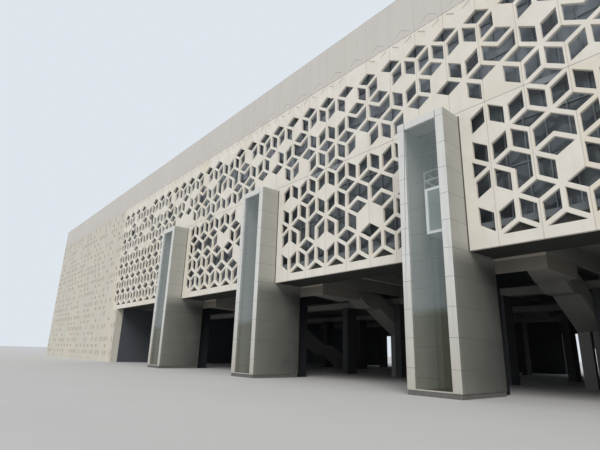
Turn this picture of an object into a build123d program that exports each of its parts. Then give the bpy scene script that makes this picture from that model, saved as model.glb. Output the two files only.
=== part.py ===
from build123d import *
import os

# A railway station building that bridges its platforms, as a scale model at 1:10.
# Every length below is in millimetres of the model, so 100 is one metre of the real building.
# X runs along the front, Y runs from the front to the rear, and Z is up from the platforms.
# The origin is on the ground, under the middle of the building.

# Setting out
panel_width = 240.0
row_height = 217.5
bay_panels = 8
open_panels_each_side = 18
end_panels = 18
building_depth = 5760.0

# Heights of the deck and of what stands on it
soffit_height = 830.0
deck_depth = 120.0
floor_thickness = 40.0
lower_screen_height = 935.0
upper_screen_height = 830.0
parapet_height = 405.0
upper_floor_thickness = 40.0
roof_thickness = 50.0

# Walls, screens and glass
screen_thickness = 22.0
screen_bar = 27.0
wall_thickness = 40.0
parapet_thickness = 25.0
glass_thickness = 8.0
glazing_setback = 70.0

# Lift towers
tower_width = 348.0
tower_depth = 500.0
tower_proud = 192.0
tower_drop = 30.0
tower_wall = 25.0
tower_frame = 56.0
tower_head = 55.0
tower_joint = 5.0
tower_glass = 6.0
tower_glass_recess = 4.0
plinth_height = 28.0
plinth_inset = 4.0
lift_door_width = 120.0
lift_door_height = 230.0

# Lift car and its guides
car_width = 160.0
car_depth = 280.0
car_height = 310.0
car_front_gap = 122.0
car_post = 15.0
car_floor = 18.0
car_roof = 18.0
car_rail_height = 120.0
car_rail_bar = 4.0
guide_width = 8.0
guide_reach = 45.0
guide_clearance = 0.4
shoe_length = 30.0
shoe_width = 28.0

# Deck under the concourse
rear_beam_width = 270.0
girder_width = 30.0
girder_panels = 2
cross_head_width = 970.0
cross_head_depth = 500.0
cross_head_height = 100.0
cross_beam_width = 80.0
cross_beam_height = 70.0
cross_beam_rows = (1600.0, 3100.0, 4600.0)
column_width = 80.0
column_length = 160.0
column_offset = 390.0
head_column_width = 240.0
head_column_length = 120.0
head_column_gap = 30.0

# Stairs down to the platforms
stair_width = 200.0
stair_offset = 240.0
stair_start = 720.0
stair_flights = 4
risers_per_flight = 14
tread_going = 30.0
landing_length = 160.0
stair_waist = 50.0
stair_well_gap = 5.0
stair_well_length = 500.0
stair_pier_width = 90.0
stair_pier_length = 60.0
balustrade_height = 100.0
balustrade_thickness = 5.0
balustrade_lap = 25.0

# Ends of the building and the rear wall at platform level
gate_panels = 1
gate_pier_width = 100.0
gate_pier_depth = 105.0
portal_width = 840.0
lintel_height = 190.0

# Worked out from the sizes above
bay = bay_panels * panel_width
half_open = open_panels_each_side * panel_width
half_length = half_open + end_panels * panel_width
front_y = tower_proud - (building_depth + tower_proud) / 2
rear_y = front_y + building_depth
floor_underside = soffit_height + deck_depth
floor_top = floor_underside + floor_thickness
mid_joint_height = soffit_height + lower_screen_height
parapet_base = mid_joint_height + upper_screen_height
parapet_top = parapet_base + parapet_height
tower_height = mid_joint_height - tower_drop
upper_floor_top = tower_height + upper_floor_thickness
tower_axes = [-bay, 0.0, bay]
lift_axis = tower_axes[2]
gate_x = half_open - gate_panels * panel_width
screen_back_y = front_y + screen_thickness
rear_screen_y = rear_y - screen_thickness
wall_y = (front_y + wall_thickness, rear_y - wall_thickness)
tower_front_y = front_y - tower_proud
tower_back_y = tower_front_y + tower_depth
slot_half = tower_width / 2 + tower_joint
deck_front_y = tower_back_y + tower_joint
deck_rear_y = rear_screen_y - rear_beam_width

# Layout of the front screen, row by row from the top. Each number is a place along the front,
# counted in panels from the middle tower. East of the last place drawn, the screen repeats its
# west end, turned over.
last_place_drawn = 12
open_diamonds = {
    1: (-16, -14, -13, -10, -8, -6, -4, -3, -2, 0, 2, 5, 6, 8, 10, 12),
    3: (-17, -15, -12, -11, -5, 3, 4, 11),
}
blank_diamonds = {0: (-14, -4), 2: (-14, -4), 4: (1, 3, 9), 6: (1, 3, 9)}
blank_left = {0: (-16, -10, -6, -2, 6, 10), 2: (2, 5), 3: (-2,), 4: (-4,), 5: (-2, 6)}
blank_right = {0: (1, 4), 1: (-8, 0, 8), 2: (9,), 4: (-4, 6), 5: (5, 11)}
joined_sides = {1: (-16, -10, -6, -2, 2, 5, 6, 10, 12), 5: (-4, -3)}
joined_to_next = {4: (-7, -6, -3, 4, 5, 10)}
diamond_with_left = {1: (-4,), 5: (3,)}
diamond_with_right = {1: (-13, -3), 5: (2, 4, 10)}
turned_over = {
    "left": "right",
    "right": "left",
    "diamond_and_left": "diamond_and_right",
    "diamond_and_right": "diamond_and_left",
}

os.makedirs("parts", exist_ok=True)


def block(x, y, z):
    """Add a rectangular block to the part in hand, between low and high values on each axis."""
    with BuildSketch(Plane.XY.offset(z[0])) as footprint:
        with Locations(((x[0] + x[1]) / 2, (y[0] + y[1]) / 2)):
            Rectangle(x[1] - x[0], y[1] - y[0])
    extrude(footprint.sketch, amount=z[1] - z[0])


def cut_block(x, y, z):
    """Cut a rectangular block from the part in hand."""
    with BuildSketch(Plane.XY.offset(z[0])) as footprint:
        with Locations(((x[0] + x[1]) / 2, (y[0] + y[1]) / 2)):
            Rectangle(x[1] - x[0], y[1] - y[0])
    extrude(footprint.sketch, amount=z[1] - z[0], mode=Mode.SUBTRACT)


def around(centre, width):
    """The low and high values of a width about a centre."""
    return (centre - width / 2, centre + width / 2)


def save(built, name):
    """Label a finished part and write it."""
    built.part.label = name
    export_step(built.part, f"parts/{name}.step")


def mirrored(outline):
    """An outline with left and right exchanged."""
    return [(-x, z) for x, z in outline]


# Cells of the cast screen. The pattern is of cubes in perspective, each a diamond over two
# leaning sides, and a few neighbours lose the bar between them to make one larger opening.
half = panel_width / 2
rise = row_height / 3
inset = screen_bar / 2
slant = (half ** 2 + rise ** 2) ** 0.5
diamond = [
    (-half + inset * slant / rise, 0),
    (0, rise - inset * slant / half),
    (half - inset * slant / rise, 0),
    (0, -rise + inset * slant / half),
]
side_run = half - 2 * inset
side_drop = side_run * rise / half
side_height = 2 * rise - 2 * inset * slant / half
left_cell = [
    (-side_run / 2, side_drop / 2 + side_height / 2),
    (side_run / 2, -side_drop / 2 + side_height / 2),
    (side_run / 2, -side_drop / 2 - side_height / 2),
    (-side_run / 2, side_drop / 2 - side_height / 2),
]
both_sides = [
    (-half + inset, side_drop / 2 + side_height / 2),
    (0, side_height / 2 - rise / 2),
    (half - inset, side_drop / 2 + side_height / 2),
    (half - inset, side_drop / 2 - side_height / 2),
    (0, -side_height / 2 - rise / 2),
    (-half + inset, side_drop / 2 - side_height / 2),
]
left_below = [(x - half / 2, z - row_height / 2) for x, z in left_cell]
corner_drop = inset * (slant - rise) / half
diamond_and_left = [
    diamond[2],
    diamond[1],
    (-half + inset, -corner_drop),
    left_below[3],
    left_below[2],
    (-inset, corner_drop - rise),
]
outlines = {
    "diamond": diamond,
    "left": left_cell,
    "right": mirrored(left_cell),
    "both_sides": both_sides,
    "across_joint": [(x, -z) for x, z in both_sides],
    "diamond_and_left": diamond_and_left,
    "diamond_and_right": mirrored(diamond_and_left),
    "west_half": [diamond[1], diamond[0], diamond[3]],
    "east_half": [diamond[1], diamond[2], diamond[3]],
    "foot": [diamond[0], diamond[1], diamond[2]],
}


def drawn_openings(row, place):
    """The openings of one cube in the layout: for each, its kind and its centre from the diamond's."""
    below = -row_height / 2
    if row == 7:
        return [("foot", 0, 0)]
    if row in open_diamonds:
        diamond_open = place in open_diamonds[row]
    else:
        diamond_open = place not in blank_diamonds.get(row, ())
    left_open = place not in blank_left.get(row, ())
    right_open = place not in blank_right.get(row, ())
    found = []
    if place in joined_to_next.get(row, ()):
        found.append(("across_joint", half, below))
        right_open = False
    if place - 1 in joined_to_next.get(row, ()):
        left_open = False
    if place in joined_sides.get(row, ()):
        found.append(("both_sides", 0, below))
        left_open = right_open = False
    if place in diamond_with_left.get(row, ()):
        found.append(("diamond_and_left", 0, 0))
        diamond_open = left_open = False
    if place in diamond_with_right.get(row, ()):
        found.append(("diamond_and_right", 0, 0))
        diamond_open = right_open = False
    if diamond_open:
        found.append(("diamond", 0, 0))
    if left_open:
        found.append(("left", -half / 2, below))
    if right_open:
        found.append(("right", half / 2, below))
    return found


def beside_tower(kind, row, x):
    """What an opening becomes near a lift tower, where the screen is cast solid, or None."""
    axis = min(tower_axes, key=lambda centre: abs(x - centre))
    clear = abs(x - axis) - panel_width
    leans = kind in ("left", "right", "both_sides", "across_joint")
    if clear > 1 or row < 2 or (row == 2 and not leans):
        return kind
    if clear < -1 or kind != "diamond":
        return None
    return "west_half" if x < axis else "east_half"


def screen_openings():
    """Every opening of the front screen: its kind and its centre."""
    found = []
    for row in range(8):
        row_offset = half if row % 2 == 0 else 0.0
        row_z = mid_joint_height + (3 - row) * row_height
        for place in range(-open_panels_each_side, open_panels_each_side + 1):
            repeats = place > last_place_drawn
            drawn = -place - 1 + row % 2 if repeats else place
            for kind, x, z in drawn_openings(row, drawn):
                if repeats:
                    kind = turned_over.get(kind, kind)
                    x = -x
                x += place * panel_width + row_offset
                kind = beside_tower(kind, row, x)
                if kind and abs(x) < half_open - half / 4:
                    found.append((kind, x, row_z + z))
    return found


def screen_piece(name, low_x, high_x, low_z, high_z):
    """Cast one flat piece of the front screen with its cells open."""
    with BuildPart() as screen:
        with BuildSketch(Plane.XZ.offset(-front_y)) as face:
            with Locations(((low_x + high_x) / 2, (low_z + high_z) / 2)):
                Rectangle(high_x - low_x, high_z - low_z)
            for kind, outline in outlines.items():
                places = [
                    (x, z) for found, x, z in openings
                    if found == kind and low_x - half < x < high_x + half
                    and low_z - row_height < z < high_z + row_height
                ]
                if places:
                    with Locations(*places):
                        Polygon(*outline, align=None, mode=Mode.SUBTRACT)
        extrude(face.sketch, amount=-screen_thickness)
    save(screen, name)


openings = screen_openings()
lower_edges = [-half_open]
for axis in tower_axes:
    lower_edges += [axis - slot_half, axis + slot_half]
lower_edges.append(half_open)
lower_spans = list(zip(lower_edges[::2], lower_edges[1::2]))
for name, span in zip(["west_wing", "west_bay", "east_bay", "east_wing"], lower_spans):
    screen_piece(f"lower_screen_{name}", span[0], span[1], soffit_height, mid_joint_height)

upper_joint = bay / 2 + half
upper_edges = [-half_open, -upper_joint, upper_joint, half_open]
for name, span in zip(["west", "middle", "east"], zip(upper_edges, upper_edges[1:])):
    screen_piece(f"upper_screen_{name}", span[0], span[1], mid_joint_height, parapet_base)

with BuildPart() as head_panels:
    for axis in tower_axes:
        block(
            around(axis, 2 * slot_half),
            (front_y, screen_back_y),
            (tower_height + tower_joint, mid_joint_height),
        )
save(head_panels, "screen_head_panels")

with BuildPart() as rear_screen:
    block((-half_open, half_open), (rear_screen_y, rear_y), (soffit_height, parapet_base))
save(rear_screen, "rear_screen")

# Parapets stand on the walls all round and hide the roof.
parapet_z = (parapet_base, parapet_top)
with BuildPart() as long_parapets:
    block((-half_length, half_length), (front_y, front_y + parapet_thickness), parapet_z)
    block((-half_length, half_length), (rear_y - parapet_thickness, rear_y), parapet_z)
save(long_parapets, "long_parapets")

with BuildPart() as end_parapets:
    for side in (-1, 1):
        x = sorted((side * half_length, side * (half_length - parapet_thickness)))
        block(x, (front_y + parapet_thickness, rear_y - parapet_thickness), parapet_z)
save(end_parapets, "end_parapets")

# Solid ends of the building, from the ground to the parapet
with BuildPart() as end_front_walls:
    for side in (-1, 1):
        outer = side * half_length
        y = (front_y, front_y + wall_thickness)
        block(sorted((outer, side * half_open)), y, (soffit_height, parapet_base))
        block(sorted((outer, side * gate_x)), y, (0, soffit_height))
        block(
            sorted((side * gate_x, side * (gate_x + gate_pier_width))),
            (front_y, front_y + gate_pier_depth),
            (0, soffit_height),
        )
save(end_front_walls, "end_front_walls")

with BuildPart() as end_walls:
    for side in (-1, 1):
        x = sorted((side * half_length, side * (half_length - wall_thickness)))
        block(x, wall_y, (0, parapet_base))
save(end_walls, "end_walls")

with BuildPart() as end_rear_walls:
    for side in (-1, 1):
        x = sorted((side * half_length, side * half_open))
        block(x, (rear_y - wall_thickness, rear_y), (0, parapet_base))
save(end_rear_walls, "end_rear_walls")

with BuildPart() as inner_walls:
    for side in (-1, 1):
        x = sorted((side * gate_x, side * (gate_x + wall_thickness)))
        block(x, (front_y + gate_pier_depth, rear_y - wall_thickness), (0, floor_underside))
save(inner_walls, "inner_walls")

with BuildPart() as cross_walls:
    for side in (-1, 1):
        x = sorted((side * half_open, side * (half_open + wall_thickness)))
        block(x, wall_y, (floor_top, parapet_base))
save(cross_walls, "cross_walls")

# Floors and roof. The concourse floor stops behind the lift towers and runs on between them.
well_x = stair_width + 2 * (balustrade_thickness + stair_well_gap)
well_y = (front_y + stair_start, front_y + stair_start + stair_well_length)
floor_z = (floor_underside, floor_top)
with BuildPart() as concourse_floor:
    block(around(0, 2 * (half_open + wall_thickness)), (deck_front_y, wall_y[1]), floor_z)
    for axis in tower_axes:
        cut_block(around(axis + stair_offset, well_x), well_y, floor_z)
save(concourse_floor, "concourse_floor")

with BuildPart() as concourse_front_floor:
    for span in lower_spans:
        block(span, (screen_back_y, deck_front_y), floor_z)
save(concourse_front_floor, "concourse_front_floor")

with BuildPart() as upper_floor:
    block(around(0, 2 * half_open), (screen_back_y, rear_screen_y), (tower_height, upper_floor_top))
save(upper_floor, "upper_floor")

with BuildPart() as roof_slab:
    block(
        around(0, 2 * (half_length - parapet_thickness)),
        (front_y + parapet_thickness, rear_y - parapet_thickness),
        (parapet_base, parapet_base + roof_thickness),
    )
save(roof_slab, "roof_slab")

# Glass walls behind the screens, one sheet a storey between the towers
front_glass_y = (screen_back_y + glazing_setback, screen_back_y + glazing_setback + glass_thickness)
rear_glass_y = (rear_screen_y - glazing_setback - glass_thickness, rear_screen_y - glazing_setback)
lower_storey = (floor_top, tower_height)
upper_storey = (upper_floor_top, parapet_base)
with BuildPart() as lower_front_glazing:
    for span in lower_spans:
        block(span, front_glass_y, lower_storey)
save(lower_front_glazing, "lower_front_glazing")

with BuildPart() as upper_front_glazing:
    block(around(0, 2 * half_open), front_glass_y, upper_storey)
save(upper_front_glazing, "upper_front_glazing")

with BuildPart() as rear_glazing:
    block(around(0, 2 * half_open), rear_glass_y, lower_storey)
    block(around(0, 2 * half_open), rear_glass_y, upper_storey)
save(rear_glazing, "rear_glazing")

# Deck structure under the concourse
deck_z = (soffit_height, floor_underside)
with BuildPart() as front_edge_beams:
    for low_x, high_x in lower_spans:
        x = (max(low_x, -gate_x), min(high_x, gate_x))
        block(x, (screen_back_y, deck_front_y), deck_z)
save(front_edge_beams, "front_edge_beams")

with BuildPart() as rear_edge_beam:
    block((-gate_x, gate_x), (deck_rear_y, rear_screen_y), deck_z)
save(rear_edge_beam, "rear_edge_beam")

girder_pitch = girder_panels * panel_width
girders_each_side = int((gate_x - girder_width) / girder_pitch)
with BuildPart() as deck_girders:
    for number in range(-girders_each_side, girders_each_side + 1):
        block(around(number * girder_pitch, girder_width), (deck_front_y, deck_rear_y), deck_z)
save(deck_girders, "deck_girders")

with BuildPart() as cross_heads:
    for axis in tower_axes:
        block(
            around(axis, cross_head_width),
            (deck_front_y, deck_front_y + cross_head_depth),
            (soffit_height - cross_head_height, soffit_height),
        )
save(cross_heads, "cross_heads")

with BuildPart() as cross_beams:
    for row in cross_beam_rows:
        block(
            (-gate_x, gate_x),
            around(front_y + row, cross_beam_width),
            (soffit_height - cross_beam_height, soffit_height),
        )
save(cross_beams, "cross_beams")

with BuildPart() as head_columns:
    for axis in tower_axes:
        y = tower_back_y + head_column_gap
        block(
            around(axis, head_column_width),
            (y, y + head_column_length),
            (0, soffit_height - cross_head_height),
        )
save(head_columns, "head_columns")

with BuildPart() as platform_columns:
    for axis in tower_axes:
        for row in cross_beam_rows:
            for offset in (-column_offset, column_offset):
                block(
                    around(axis + offset, column_width),
                    around(front_y + row, column_length),
                    (0, soffit_height - cross_beam_height),
                )
save(platform_columns, "platform_columns")

# Stairs: flights in line with landings between them, falling away from the front
riser = floor_top / (stair_flights * risers_per_flight)
flight_rise = riser * risers_per_flight
flight_run = tread_going * risers_per_flight
flight_pitch = flight_run + landing_length
stair_y = front_y + stair_start
foot_y = stair_y + stair_flights * flight_pitch - landing_length
steps = []
soffit = []
nosings = []
for flight in range(stair_flights):
    y = stair_y + flight * flight_pitch
    z = floor_top - flight * flight_rise
    for step in range(risers_per_flight):
        steps.append((y + step * tread_going, z - step * riser))
        steps.append((y + step * tread_going, z - (step + 1) * riser))
    soffit += [(y, z - stair_waist), (y + flight_run, z - flight_rise - stair_waist)]
    nosings += [(y, z), (y + flight_run, z - flight_rise)]
toe_run = flight_run / flight_rise
stair_side = steps[1:] + [(foot_y, 0), (foot_y - stair_waist * toe_run, 0)] + soffit[-2::-1]
rail_foot = [(y, z - balustrade_lap) for y, z in nosings[:-1]]
rail_foot += [(foot_y - balustrade_lap * toe_run, 0), (foot_y, 0)]
rail_side = rail_foot + [(y, z + balustrade_height) for y, z in reversed(nosings)]
with BuildPart() as platform_stairs:
    for axis in tower_axes:
        with BuildSketch(Plane.YZ.offset(axis + stair_offset - stair_width / 2)) as side:
            Polygon(*stair_side, align=None)
        extrude(side.sketch, amount=stair_width)
save(platform_stairs, "platform_stairs")

with BuildPart() as stair_balustrades:
    for axis in tower_axes:
        for x in (-stair_width / 2 - balustrade_thickness, stair_width / 2):
            with BuildSketch(Plane.YZ.offset(axis + stair_offset + x)) as side:
                Polygon(*rail_side, align=None)
            extrude(side.sketch, amount=balustrade_thickness)
save(stair_balustrades, "stair_balustrades")

with BuildPart() as stair_piers:
    y = stair_y + 2 * flight_pitch - landing_length
    for axis in tower_axes:
        for side in (-1, 1):
            x = axis + stair_offset + side * (stair_width - stair_pier_width) / 2
            block(
                around(x, stair_pier_width),
                (y, y + stair_pier_length),
                (0, floor_top - 2 * flight_rise - stair_waist),
            )
save(stair_piers, "stair_piers")

# Wall at platform level under the rear screen, open over each pair of tracks
portal_axes = [bay * place for place in (-1.5, -0.5, 0.5, 1.5)]
portal_z = (soffit_height - lintel_height, soffit_height)
base_wall_y = (rear_y - wall_thickness, rear_y)
pier_edges = [-half_open]
for axis in portal_axes:
    pier_edges += around(axis, portal_width)
pier_edges.append(half_open)
with BuildPart() as rear_base_piers:
    for span in zip(pier_edges[::2], pier_edges[1::2]):
        block(span, base_wall_y, (0, soffit_height))
save(rear_base_piers, "rear_base_piers")

with BuildPart() as portal_lintels:
    for axis in portal_axes:
        block(around(axis, portal_width), base_wall_y, portal_z)
save(portal_lintels, "portal_lintels")

# Lift towers
shaft_x = tower_width / 2 - tower_wall
shaft_y = (tower_front_y + tower_wall, tower_back_y - tower_wall)
window_width = tower_width - 2 * tower_frame
window_z = (plinth_height, tower_height - tower_head)
tower_z = (plinth_height, tower_height)
with BuildPart() as tower_front_frames:
    for axis in tower_axes:
        block(around(axis, tower_width), (tower_front_y, shaft_y[0]), tower_z)
        cut_block(around(axis, window_width), (tower_front_y, shaft_y[0]), window_z)
save(tower_front_frames, "tower_front_frames")

with BuildPart() as tower_side_walls:
    for axis in tower_axes:
        for side in (-1, 1):
            x = sorted((axis + side * shaft_x, axis + side * tower_width / 2))
            block(x, shaft_y, tower_z)
save(tower_side_walls, "tower_side_walls")

with BuildPart() as tower_back_walls:
    for axis in tower_axes:
        y = (shaft_y[1], tower_back_y)
        block(around(axis, tower_width), y, tower_z)
        cut_block(around(axis, lift_door_width), y, (plinth_height, lift_door_height))
        cut_block(around(axis, lift_door_width), y, (floor_top, floor_top + lift_door_height))
save(tower_back_walls, "tower_back_walls")

with BuildPart() as tower_caps:
    for axis in tower_axes:
        block(around(axis, 2 * shaft_x), shaft_y, (tower_height - tower_wall, tower_height))
save(tower_caps, "tower_caps")

with BuildPart() as tower_plinths:
    for axis in tower_axes:
        block(
            around(axis, tower_width - 2 * plinth_inset),
            (tower_front_y + plinth_inset, tower_back_y - plinth_inset),
            (0, plinth_height),
        )
        cut_block(around(axis, 2 * shaft_x), shaft_y, (0, plinth_height))
        cut_block(around(axis, lift_door_width), (shaft_y[1], tower_back_y), (0, plinth_height))
save(tower_plinths, "tower_plinths")

with BuildPart() as tower_glazing:
    y = tower_front_y + tower_glass_recess
    for axis in tower_axes:
        block(around(axis, window_width), (y, y + tower_glass), window_z)
save(tower_glazing, "tower_glazing")

# Lift car, stopped at the concourse, and the guide rails that it runs on
car_y = (shaft_y[0] + car_front_gap, shaft_y[0] + car_front_gap + car_depth)
car_middle = (car_y[0] + car_y[1]) / 2
car_x = around(lift_axis, car_width)
car_z = (floor_top - car_floor, floor_top - car_floor + car_height)
pane_z = (car_z[0] + car_floor, car_z[1] - car_roof)
with BuildPart() as guide_rails:
    for side in (-1, 1):
        x = sorted((lift_axis + side * shaft_x, lift_axis + side * (shaft_x - guide_reach)))
        block(x, around(car_middle, guide_width), (plinth_height, tower_height - tower_wall))
save(guide_rails, "guide_rails")

with BuildPart() as lift_car:
    block(car_x, car_y, car_z)
    cut_block((car_x[0] + car_post, car_x[1] - car_post), car_y, pane_z)
    cut_block(car_x, (car_y[0] + car_post, car_y[1] - car_post), pane_z)
    for side in (-1, 1):
        for z in (car_z[0], car_z[1] - shoe_length):
            shoe_z = (z, z + shoe_length)
            shoe_end = lift_axis + side * (shaft_x - guide_clearance)
            slot_start = lift_axis + side * (shaft_x - guide_reach - guide_clearance)
            shoe_x = sorted((lift_axis + side * car_width / 2, shoe_end))
            slot_x = sorted((slot_start, lift_axis + side * shaft_x))
            block(shoe_x, around(car_middle, shoe_width), shoe_z)
            cut_block(slot_x, around(car_middle, guide_width + 2 * guide_clearance), shoe_z)
save(lift_car, "lift_car_frame")

with BuildPart() as car_panes:
    for side in (-1, 1):
        x = lift_axis + side * (car_width - car_post) / 2
        block(around(x, tower_glass), around(car_middle, car_depth - 2 * car_post), pane_z)
    front_pane_y = around(car_y[0] + car_post / 2, tower_glass)
    block(around(lift_axis, car_width - 2 * car_post), front_pane_y, pane_z)
save(car_panes, "lift_car_glass")

with BuildPart() as car_rail:
    rail_z = (car_z[1], car_z[1] + car_rail_height)
    inner_x = around(lift_axis, car_width - 2 * car_rail_bar)
    inner_y = (car_y[0] + car_rail_bar, car_y[1] - car_rail_bar)
    gap_height = (car_rail_height - 3 * car_rail_bar) / 2
    block(car_x, car_y, rail_z)
    cut_block(inner_x, inner_y, rail_z)
    for low in (rail_z[0], rail_z[0] + (car_rail_height + car_rail_bar) / 2):
        cut_block(inner_x, car_y, (low, low + gap_height))
        cut_block(car_x, inner_y, (low, low + gap_height))
save(car_rail, "lift_car_rail")
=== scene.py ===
"""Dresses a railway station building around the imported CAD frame.

Every length is in metres of the 1:10 model, in the frame of the CAD.
"""

import logging
import math
from collections.abc import Iterable, Sequence
from dataclasses import KW_ONLY, dataclass, field
from enum import Enum

import bmesh
import bpy
from mathutils import Matrix, Vector

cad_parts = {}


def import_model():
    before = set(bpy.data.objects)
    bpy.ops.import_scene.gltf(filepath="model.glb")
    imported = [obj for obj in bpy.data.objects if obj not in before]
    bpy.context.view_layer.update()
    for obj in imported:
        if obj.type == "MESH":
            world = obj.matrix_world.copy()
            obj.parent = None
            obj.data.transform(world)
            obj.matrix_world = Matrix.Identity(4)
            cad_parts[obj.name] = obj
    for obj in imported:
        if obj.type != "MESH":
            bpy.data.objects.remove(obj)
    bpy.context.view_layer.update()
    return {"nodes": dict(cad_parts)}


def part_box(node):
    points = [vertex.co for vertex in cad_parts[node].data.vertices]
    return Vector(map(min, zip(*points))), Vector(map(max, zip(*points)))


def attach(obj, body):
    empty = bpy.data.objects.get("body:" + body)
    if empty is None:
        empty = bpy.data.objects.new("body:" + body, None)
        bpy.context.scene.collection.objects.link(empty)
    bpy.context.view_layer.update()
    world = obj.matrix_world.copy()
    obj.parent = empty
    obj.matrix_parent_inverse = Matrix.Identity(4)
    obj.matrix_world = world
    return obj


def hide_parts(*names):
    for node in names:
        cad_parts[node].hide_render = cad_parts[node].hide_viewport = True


Colour = tuple[float, float, float]
Span = tuple[float, float]
Piece = bpy.types.Object
Mesh = bmesh.types.BMesh
Corner = bmesh.types.BMVert
Node = bpy.types.Node
Socket = bpy.types.NodeSocket
Sockets = bpy.types.bpy_prop_collection

log = logging.getLogger("station")

# The width of a cast panel, the height of one row of diamonds, and the distance between towers.
PANEL = 0.240
ROW = 0.2175
BAY = 8 * PANEL
BAYS = (-1, 0, 1)

# The heights of the joint between the two rows of panels and of the parapet's foot.
PANEL_JOINT = 1.765
PARAPET_FOOT = 2.595

# The front and back of a tower in Y, the height of one of its sheets, and its highest joint.
TOWER_DEPTH = (-2.976, -2.476)
SHEET = 0.1685
HEAD_JOINT = 1.684

# The colours of joints and dust, and of painted shade, that lie over the finishes' own colours.
CAST_JOINT = (0.09, 0.085, 0.08)
SHEET_JOINT = (0.07, 0.07, 0.07)
GLASS_JOINT = (0.04, 0.045, 0.045)
DUST = (0.2, 0.19, 0.17)
# PAINTED_CORNER_SHADE is painted shade in the corner where a tower meets the screen.
PAINTED_CORNER_SHADE = (0.03, 0.03, 0.028)
# PAINTED_UNLIT_CAR is painted shade: the cars outside the span of the painted light are painted dark as
# unlit.
PAINTED_UNLIT_CAR = (0.12, 0.125, 0.125)

# A face looks along an axis where its normal has more than this of it, and down below this.
LOOKS_ALONG = 0.9
LOOKS_DOWN = -0.5
# Corners and planes nearer than this count as the same.
SAME = 1e-6
# In degrees, where two faces count as one, and where their edge gets an arris.
FLAT_ANGLE = 1
ARRIS_ANGLE = 40

# The roughness of the noise, and the parts of its range that are stretched from 0 to 1.
NOISE_ROUGHNESS = 0.62
NOISE_SPAN = (0.3, 0.7)
STREAK_SPAN = (0.48, 0.78)
# The streaks' scale in height, and how much X in a normal makes a face count as an end's.
STREAK_STRETCH = 0.07
END_FACING = 0.7


class Face(Enum):
    """A side of the building, with the direction that it looks in."""

    FRONT = (0.0, -1.0)
    REAR = (0.0, 1.0)
    WEST = (-1.0, 0.0)
    EAST = (1.0, 0.0)


class Cell(Enum):
    """The three cells of one cube in the cast pattern."""

    DIAMOND = "diamond"
    LEFT = "left"
    RIGHT = "right"


def scaled(colour: Colour, factor: float) -> Colour:
    """Gives a colour that is lighter or darker by a factor."""
    return tuple(part * factor for part in colour)


def tinted(colour: Colour, tint: Colour) -> Colour:
    """Gives a colour multiplied by a tint."""
    return tuple(part * by for part, by in zip(colour, tint))


def from_axis(x: float) -> float:
    """Gives how far a place in X lies from the axis of the nearest tower."""
    return x - round(x / BAY) * BAY


# Node trees


class NodeTree:
    """A thin writer for node trees, so that a material reads as a list of steps."""

    def __init__(self, tree: bpy.types.NodeTree) -> None:
        """Takes the tree of a material, a world or a group."""
        self.tree = tree

    def feed(self, target: Socket, value: object) -> None:
        """Feeds an input.

        Args:
            target: The input's socket.
            value: The socket to link to it, or its plain value.
        """
        if isinstance(value, Socket):
            self.tree.links.new(value, target)
        else:
            target.default_value = value

    def add(self, kind: str, inputs: dict[str | int, object] | None = None, **settings: object) -> Node:
        """Adds a node.

        Args:
            kind: The node's type name.
            inputs: What feeds its inputs, by their names or numbers.
            **settings: Properties to set on it first.

        Returns:
            The new node.
        """
        node = self.tree.nodes.new(kind)
        for name, value in settings.items():
            setattr(node, name, value)
        for name, value in (inputs or {}).items():
            self.feed(node.inputs[name], value)
        return node

    def math(self, operation: str, *values: object) -> Socket:
        """Adds a Math node on sockets or numbers and gives its result."""
        return self.add("ShaderNodeMath", dict(enumerate(values)), operation=operation).outputs[0]

    def mix(self, factor: object, first: object, second: object) -> Socket:
        """Mixes two colours.

        Args:
            factor: A socket or a number from 0 to 1.
            first: The colour at 0, a socket or three numbers.
            second: The colour at 1, a socket or three numbers.

        Returns:
            The mixed colour.
        """
        inputs = {0: factor}
        for number, colour in ((6, first), (7, second)):
            inputs[number] = colour if isinstance(colour, Socket) else (*colour, 1.0)
        return self.add("ShaderNodeMix", inputs, data_type="RGBA").outputs[2]

    def shade(self, colour: object, mask: Socket, share: float, other: Colour) -> Socket:
        """Takes a colour a share of the way to another one, where a mask is 1."""
        return self.mix(self.math("MULTIPLY", mask, share), colour, other)

    def ramp(self, value: Socket, low: float, high: float) -> Socket:
        """Adds a ramp that is 0 up to the low value and 1 from the high one."""
        return self.add("ShaderNodeMapRange", {"Value": value, "From Min": low, "From Max": high}).outputs[0]

    def parts(self, vector: Socket) -> Sockets:
        """Splits a vector into X, Y and Z."""
        return self.add("ShaderNodeSeparateXYZ", {0: vector}).outputs

    def position(self) -> Socket:
        """Gives the Object coordinates."""
        return self.add("ShaderNodeTexCoord").outputs["Object"]

    def normal(self) -> Socket:
        """Gives the surface's normal."""
        return self.add("ShaderNodeNewGeometry").outputs["Normal"]

    def place(self, group: bpy.types.NodeTree, **values: float) -> Sockets:
        """Places a group, with _ for a space in its inputs' names, and gives its outputs."""
        inputs = {name.replace("_", " "): value for name, value in values.items()}
        return self.add("ShaderNodeGroup", inputs, node_tree=group).outputs


class Surface(NodeTree):
    """A writer for a new material with a Principled BSDF."""

    def __init__(self, name: str) -> None:
        """Starts the material.

        Args:
            name: The material's name.
        """
        self.material = bpy.data.materials.new(name)
        self.material.use_nodes = True
        self.material.node_tree.nodes.clear()
        super().__init__(self.material.node_tree)
        self.shader = self.add("ShaderNodeBsdfPrincipled")
        self.add("ShaderNodeOutputMaterial", {"Surface": self.shader.outputs[0]})

    def set(self, **values: object) -> None:
        """Feeds the shader's inputs, with _ for a space in their names."""
        for name, value in values.items():
            self.feed(self.shader.inputs[name.replace("_", " ")], value)

    def bump(self, height: Socket, depth: float) -> None:
        """Adds a bump, from a height of 0 to 1 and its depth in metres."""
        bump = self.add("ShaderNodeBump", {"Strength": 0.6, "Distance": depth, "Height": height})
        self.set(Normal=bump.outputs[0])


# Shader groups


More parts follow.
